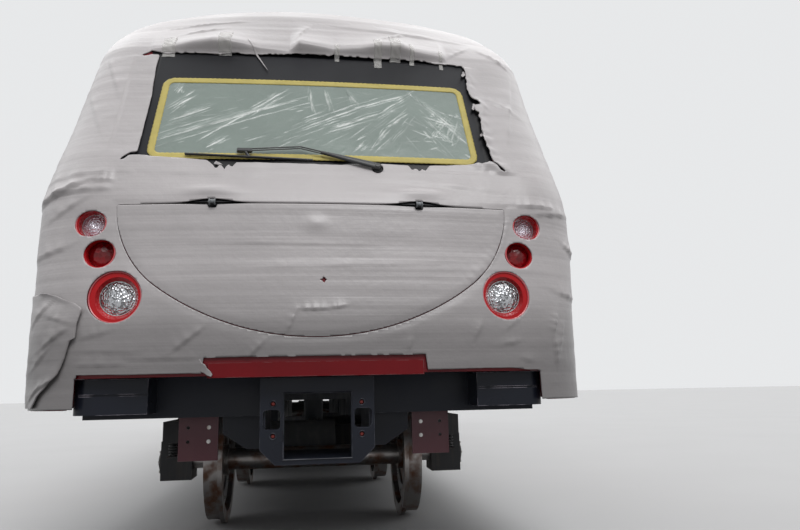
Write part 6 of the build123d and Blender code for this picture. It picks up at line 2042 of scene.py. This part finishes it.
class METRO_OT_rear_fittings(PieceOperator):
    """Gangway face frame and tread plate, jumper sockets, steps and rails of the rear end"""
    bl_idname = "metro.rear_fittings"
    bl_label = "Rear end fittings"

    def make(self, looks):
        face_frame, tread, sockets, rails, bolts = Solids(), Solids(), Solids(), Solids(), Solids()
        face_frame.hoop([(x, 8.985, z) for x, z in rounded_rectangle(0.575, 1.075, 3.185, 0.10)], 0.014,
                        sides=10)
        tread.box((-0.500, 8.58, FLOOR_TOP - 0.006), (0.500, 8.985, FLOOR_TOP + 0.004), 0.002)
        for k in range(24):
            x = -0.46 + 0.04 * k
            tread.box((x - 0.006, 8.70, FLOOR_TOP + 0.003), (x + 0.006, 8.96, FLOOR_TOP + 0.0065), 0.001,
                      segments=1)
        for side in (-1, 1):
            for z in (1.30, 1.52):
                x = side * 1.02
                sockets.box((x - 0.095, END_FACE, z - 0.085), (x + 0.095, SOCKET_FACE, z + 0.085), 0.012)
                sockets.lathe((x, SOCKET_FACE - 0.002, z - 0.01), (0, 1, -0.25),
                              [(0.052, 0.0), (0.052, 0.045), (0.058, 0.050), (0.058, 0.064), (0.030, 0.070),
                               (0.001, 0.071)], 36)
                for dx in (-0.075, 0.075):
                    for dz in (-0.065, 0.065):
                        bolts.bolt((x + dx, SOCKET_FACE, z + dz), (0, 1, 0), 0.008, 0.005)
            x = side * 1.32
            rails.pipe([(x, y, z)
                        for y, z in ((END_FACE, 1.25), (8.730, 1.25), (8.730, 2.30), (END_FACE, 2.30))],
                       0.014, sides=14)
            for z in (1.25, 2.30):
                rails.lathe((x, 8.680, z), (0, 1, 0),
                            [(0.001, 0.0), (0.034, 0.0), (0.034, 0.006), (0.016, 0.012)], 28)
            for z in (0.960, 1.120):
                rails.pipe([(side * x, y, z) for x, y in ((1.44, END_FACE), (1.44, 8.745), (1.20, 8.745),
                                                          (1.20, END_FACE))], 0.012)
            x = side * 0.80
            sockets.box((x - 0.045, END_FACE, 2.62), (x + 0.045, 8.690, 2.82), 0.008)
            for z in (2.655, 2.785):
                bolts.bolt((x, 8.690, z), (0, 1, 0), 0.007, 0.004)
        for x in (-1.16, 1.16):
            sockets.box((x - 0.006, 8.678, 0.92), (x + 0.006, 8.683, 3.30), 0.002)
        for place in around((0, 8.999, 0.79), 1, 0.095, 4, start=pi / 4):
            bolts.rod(place, place - Vector((0, 0.0005, 0)), 0.020, sides=24)
        finish_all([("gangway_frame", face_frame, "bright_steel"), ("gangway_tread", tread, "bright_steel"),
                    ("rear_sockets", sockets, "underframe_grey"), ("rear_rails", rails, "bright_steel"),
                    ("rear_bolts", bolts, "bolt_steel")])


# Stage

CAMERA_PLACE = (-0.047, -12.45, 0.95)
CAMERA_YAW, CAMERA_PITCH, CAMERA_ROLL = 7.74, 10.37, -1.28
CAMERA_LENS = 30.73


class METRO_OT_stage(bpy.types.Operator):
    """Pale floor, soft lamps overhead and the camera in front of the car"""
    bl_idname = "metro.stage"
    bl_label = "Stage"

    def execute(self, context):
        level = context.scene.metro_car.light_level
        self.lay_floor()
        self.fill_world()
        self.hang_lamp("lamp_key", 50, 12, 1.7 * level, 34)
        self.hang_lamp("lamp_left", 48, -110, 0.6 * level, 60)
        self.hang_lamp("lamp_right", 48, 110, 0.6 * level, 60)
        self.hang_lamp("lamp_rear", 50, 180, 0.8 * level, 60)
        self.place_camera(context.scene)
        context.scene.view_settings.view_transform = "Standard"
        return {"FINISHED"}

    def lay_floor(self):
        """Large round floor under the wheels, white for the camera apart from the car's shadow."""
        mesh = bmesh.new()
        bmesh.ops.create_circle(mesh, cap_ends=True, segments=96, radius=150.0)
        floor = link_mesh("studio_floor", [], [])
        mesh.to_mesh(floor.data)
        mesh.free()
        material = bpy.data.materials.new("studio_floor_finish")
        material.use_nodes = True
        tree = material.node_tree
        shader = tree.nodes["Principled BSDF"]
        shader.inputs["Roughness"].default_value = 0.9
        place = add(tree, "TexCoord", {}).outputs["Object"]
        pale = blend_colour(tree, soft_noise(tree, place, 0.6, 4.0), (0.46, 0.46, 0.46, 1.0),
                            (0.50, 0.50, 0.50, 1.0))
        rays = add(tree, "LightPath", {}).outputs
        seen = maths(tree, "MAXIMUM", rays["Is Camera Ray"], rays["Is Glossy Ray"])
        tone = blend_colour(tree, seen, (0.12, 0.12, 0.12, 1.0), pale)
        tree.links.new(tone, shader.inputs["Base Color"])
        floor.data.materials.append(material)

    def fill_world(self):
        """Sky that lights the car from above and looks white to the camera and in mirrors."""
        world = bpy.data.worlds.new("studio_world")
        bpy.context.scene.world = world
        world.use_nodes = True
        tree = world.node_tree
        back = tree.nodes["Background"]
        rays = add(tree, "LightPath", {}).outputs
        seen = maths(tree, "MAXIMUM", rays["Is Camera Ray"], rays["Is Transmission Ray"])
        seen = maths(tree, "MAXIMUM", seen, rays["Is Glossy Ray"])
        height = add(tree, "SeparateXYZ", {0: add(tree, "TexCoord", {}).outputs["Generated"]}).outputs[2]
        above = add(tree, "MapRange", {0: height, 1: -0.1, 2: 0.8})
        sky = blend_colour(tree, above.outputs[0], (0.16, 0.165, 0.175, 1.0), (0.44, 0.445, 0.46, 1.0))
        tone = blend_colour(tree, seen, sky, (0.80, 0.81, 0.82, 1.0))
        tree.links.new(tone, back.inputs["Color"])
        back.inputs["Strength"].default_value = 1.0

    def hang_lamp(self, name, height, turn, strength, softness):
        """Distant soft lamp, at a height over the horizon and a turn round the car, in degrees."""
        light = bpy.data.lights.new(name, "SUN")
        light.energy = strength
        light.angle = radians(softness)
        lamp = bpy.data.objects.new(name, light)
        bpy.context.scene.collection.objects.link(lamp)
        height, turn = radians(height), radians(turn)
        place = Vector((sin(turn) * cos(height), -cos(turn) * cos(height), sin(height)))
        lamp.location = place * 30
        lamp.rotation_euler = (-place).to_track_quat("-Z", "Y").to_euler()

    def place_camera(self, scene):
        """Camera at the photographer's place, with their aim and lean."""
        yaw, pitch, roll = radians(CAMERA_YAW), radians(CAMERA_PITCH), radians(CAMERA_ROLL)
        ahead = Vector((sin(yaw) * cos(pitch), cos(yaw) * cos(pitch), sin(pitch)))
        right = Vector((cos(yaw), -sin(yaw), 0.0))
        up = right.cross(ahead)
        right, up = cos(roll) * right + sin(roll) * up, cos(roll) * up - sin(roll) * right
        data = bpy.data.cameras.new("photo_camera")
        data.sensor_width = 36.0
        data.lens = CAMERA_LENS
        data.clip_end = 400.0
        camera = bpy.data.objects.new("photo_camera", data)
        scene.collection.objects.link(camera)
        turn = Matrix((right, up, -ahead)).transposed().to_4x4()
        camera.matrix_world = Matrix.Translation(CAMERA_PLACE) @ turn
        scene.camera = camera


PIECE_OPERATORS = [
    METRO_OT_finishes, METRO_OT_front_sheet, METRO_OT_hatch_sheet, METRO_OT_folded_corner, METRO_OT_torn_ends,
    METRO_OT_window_film, METRO_OT_window_tape, METRO_OT_lamps, METRO_OT_wiper, METRO_OT_hinge_covers,
    METRO_OT_side_windows, METRO_OT_door_fittings, METRO_OT_cab_doors, METRO_OT_side_trim,
    METRO_OT_roof_coolers, METRO_OT_roof_fittings, METRO_OT_case_fittings, METRO_OT_pipes,
    METRO_OT_front_underparts, METRO_OT_bogie_fittings, METRO_OT_wheel_fittings, METRO_OT_driver_seat,
    METRO_OT_desk_fittings, METRO_OT_saloon_fittings, METRO_OT_rear_fittings, METRO_OT_stage,
]


class METRO_PT_panel(bpy.types.Panel):
    """Sidebar list of the car's sizes, colours and pieces"""

    bl_idname = "METRO_PT_panel"
    bl_label = "Metro car"
    bl_space_type = "VIEW_3D"
    bl_region_type = "UI"
    bl_category = "Metro car"

    def draw(self, context):
        """Lists the user's settings, and a button for each operator."""
        for name in CarLooks.__annotations__:
            self.layout.prop(context.scene.metro_car, name)
        for operator in PIECE_OPERATORS:
            self.layout.operator(operator.bl_idname)


CLASSES = [CarLooks, *PIECE_OPERATORS, METRO_PT_panel]


def register():
    """Makes the classes known, and gives every scene the user's settings."""
    for made in CLASSES:
        bpy.utils.register_class(made)
    bpy.types.Scene.metro_car = PointerProperty(type=CarLooks)


def unregister():
    """Takes back what register does."""
    del bpy.types.Scene.metro_car
    for made in reversed(CLASSES):
        bpy.utils.unregister_class(made)


def main():
    """Registers the add-on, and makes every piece."""
    register()
    for operator in PIECE_OPERATORS:
        area, name = operator.bl_idname.split(".")
        getattr(getattr(bpy.ops, area), name)()


if __name__ == "__main__":
    main()
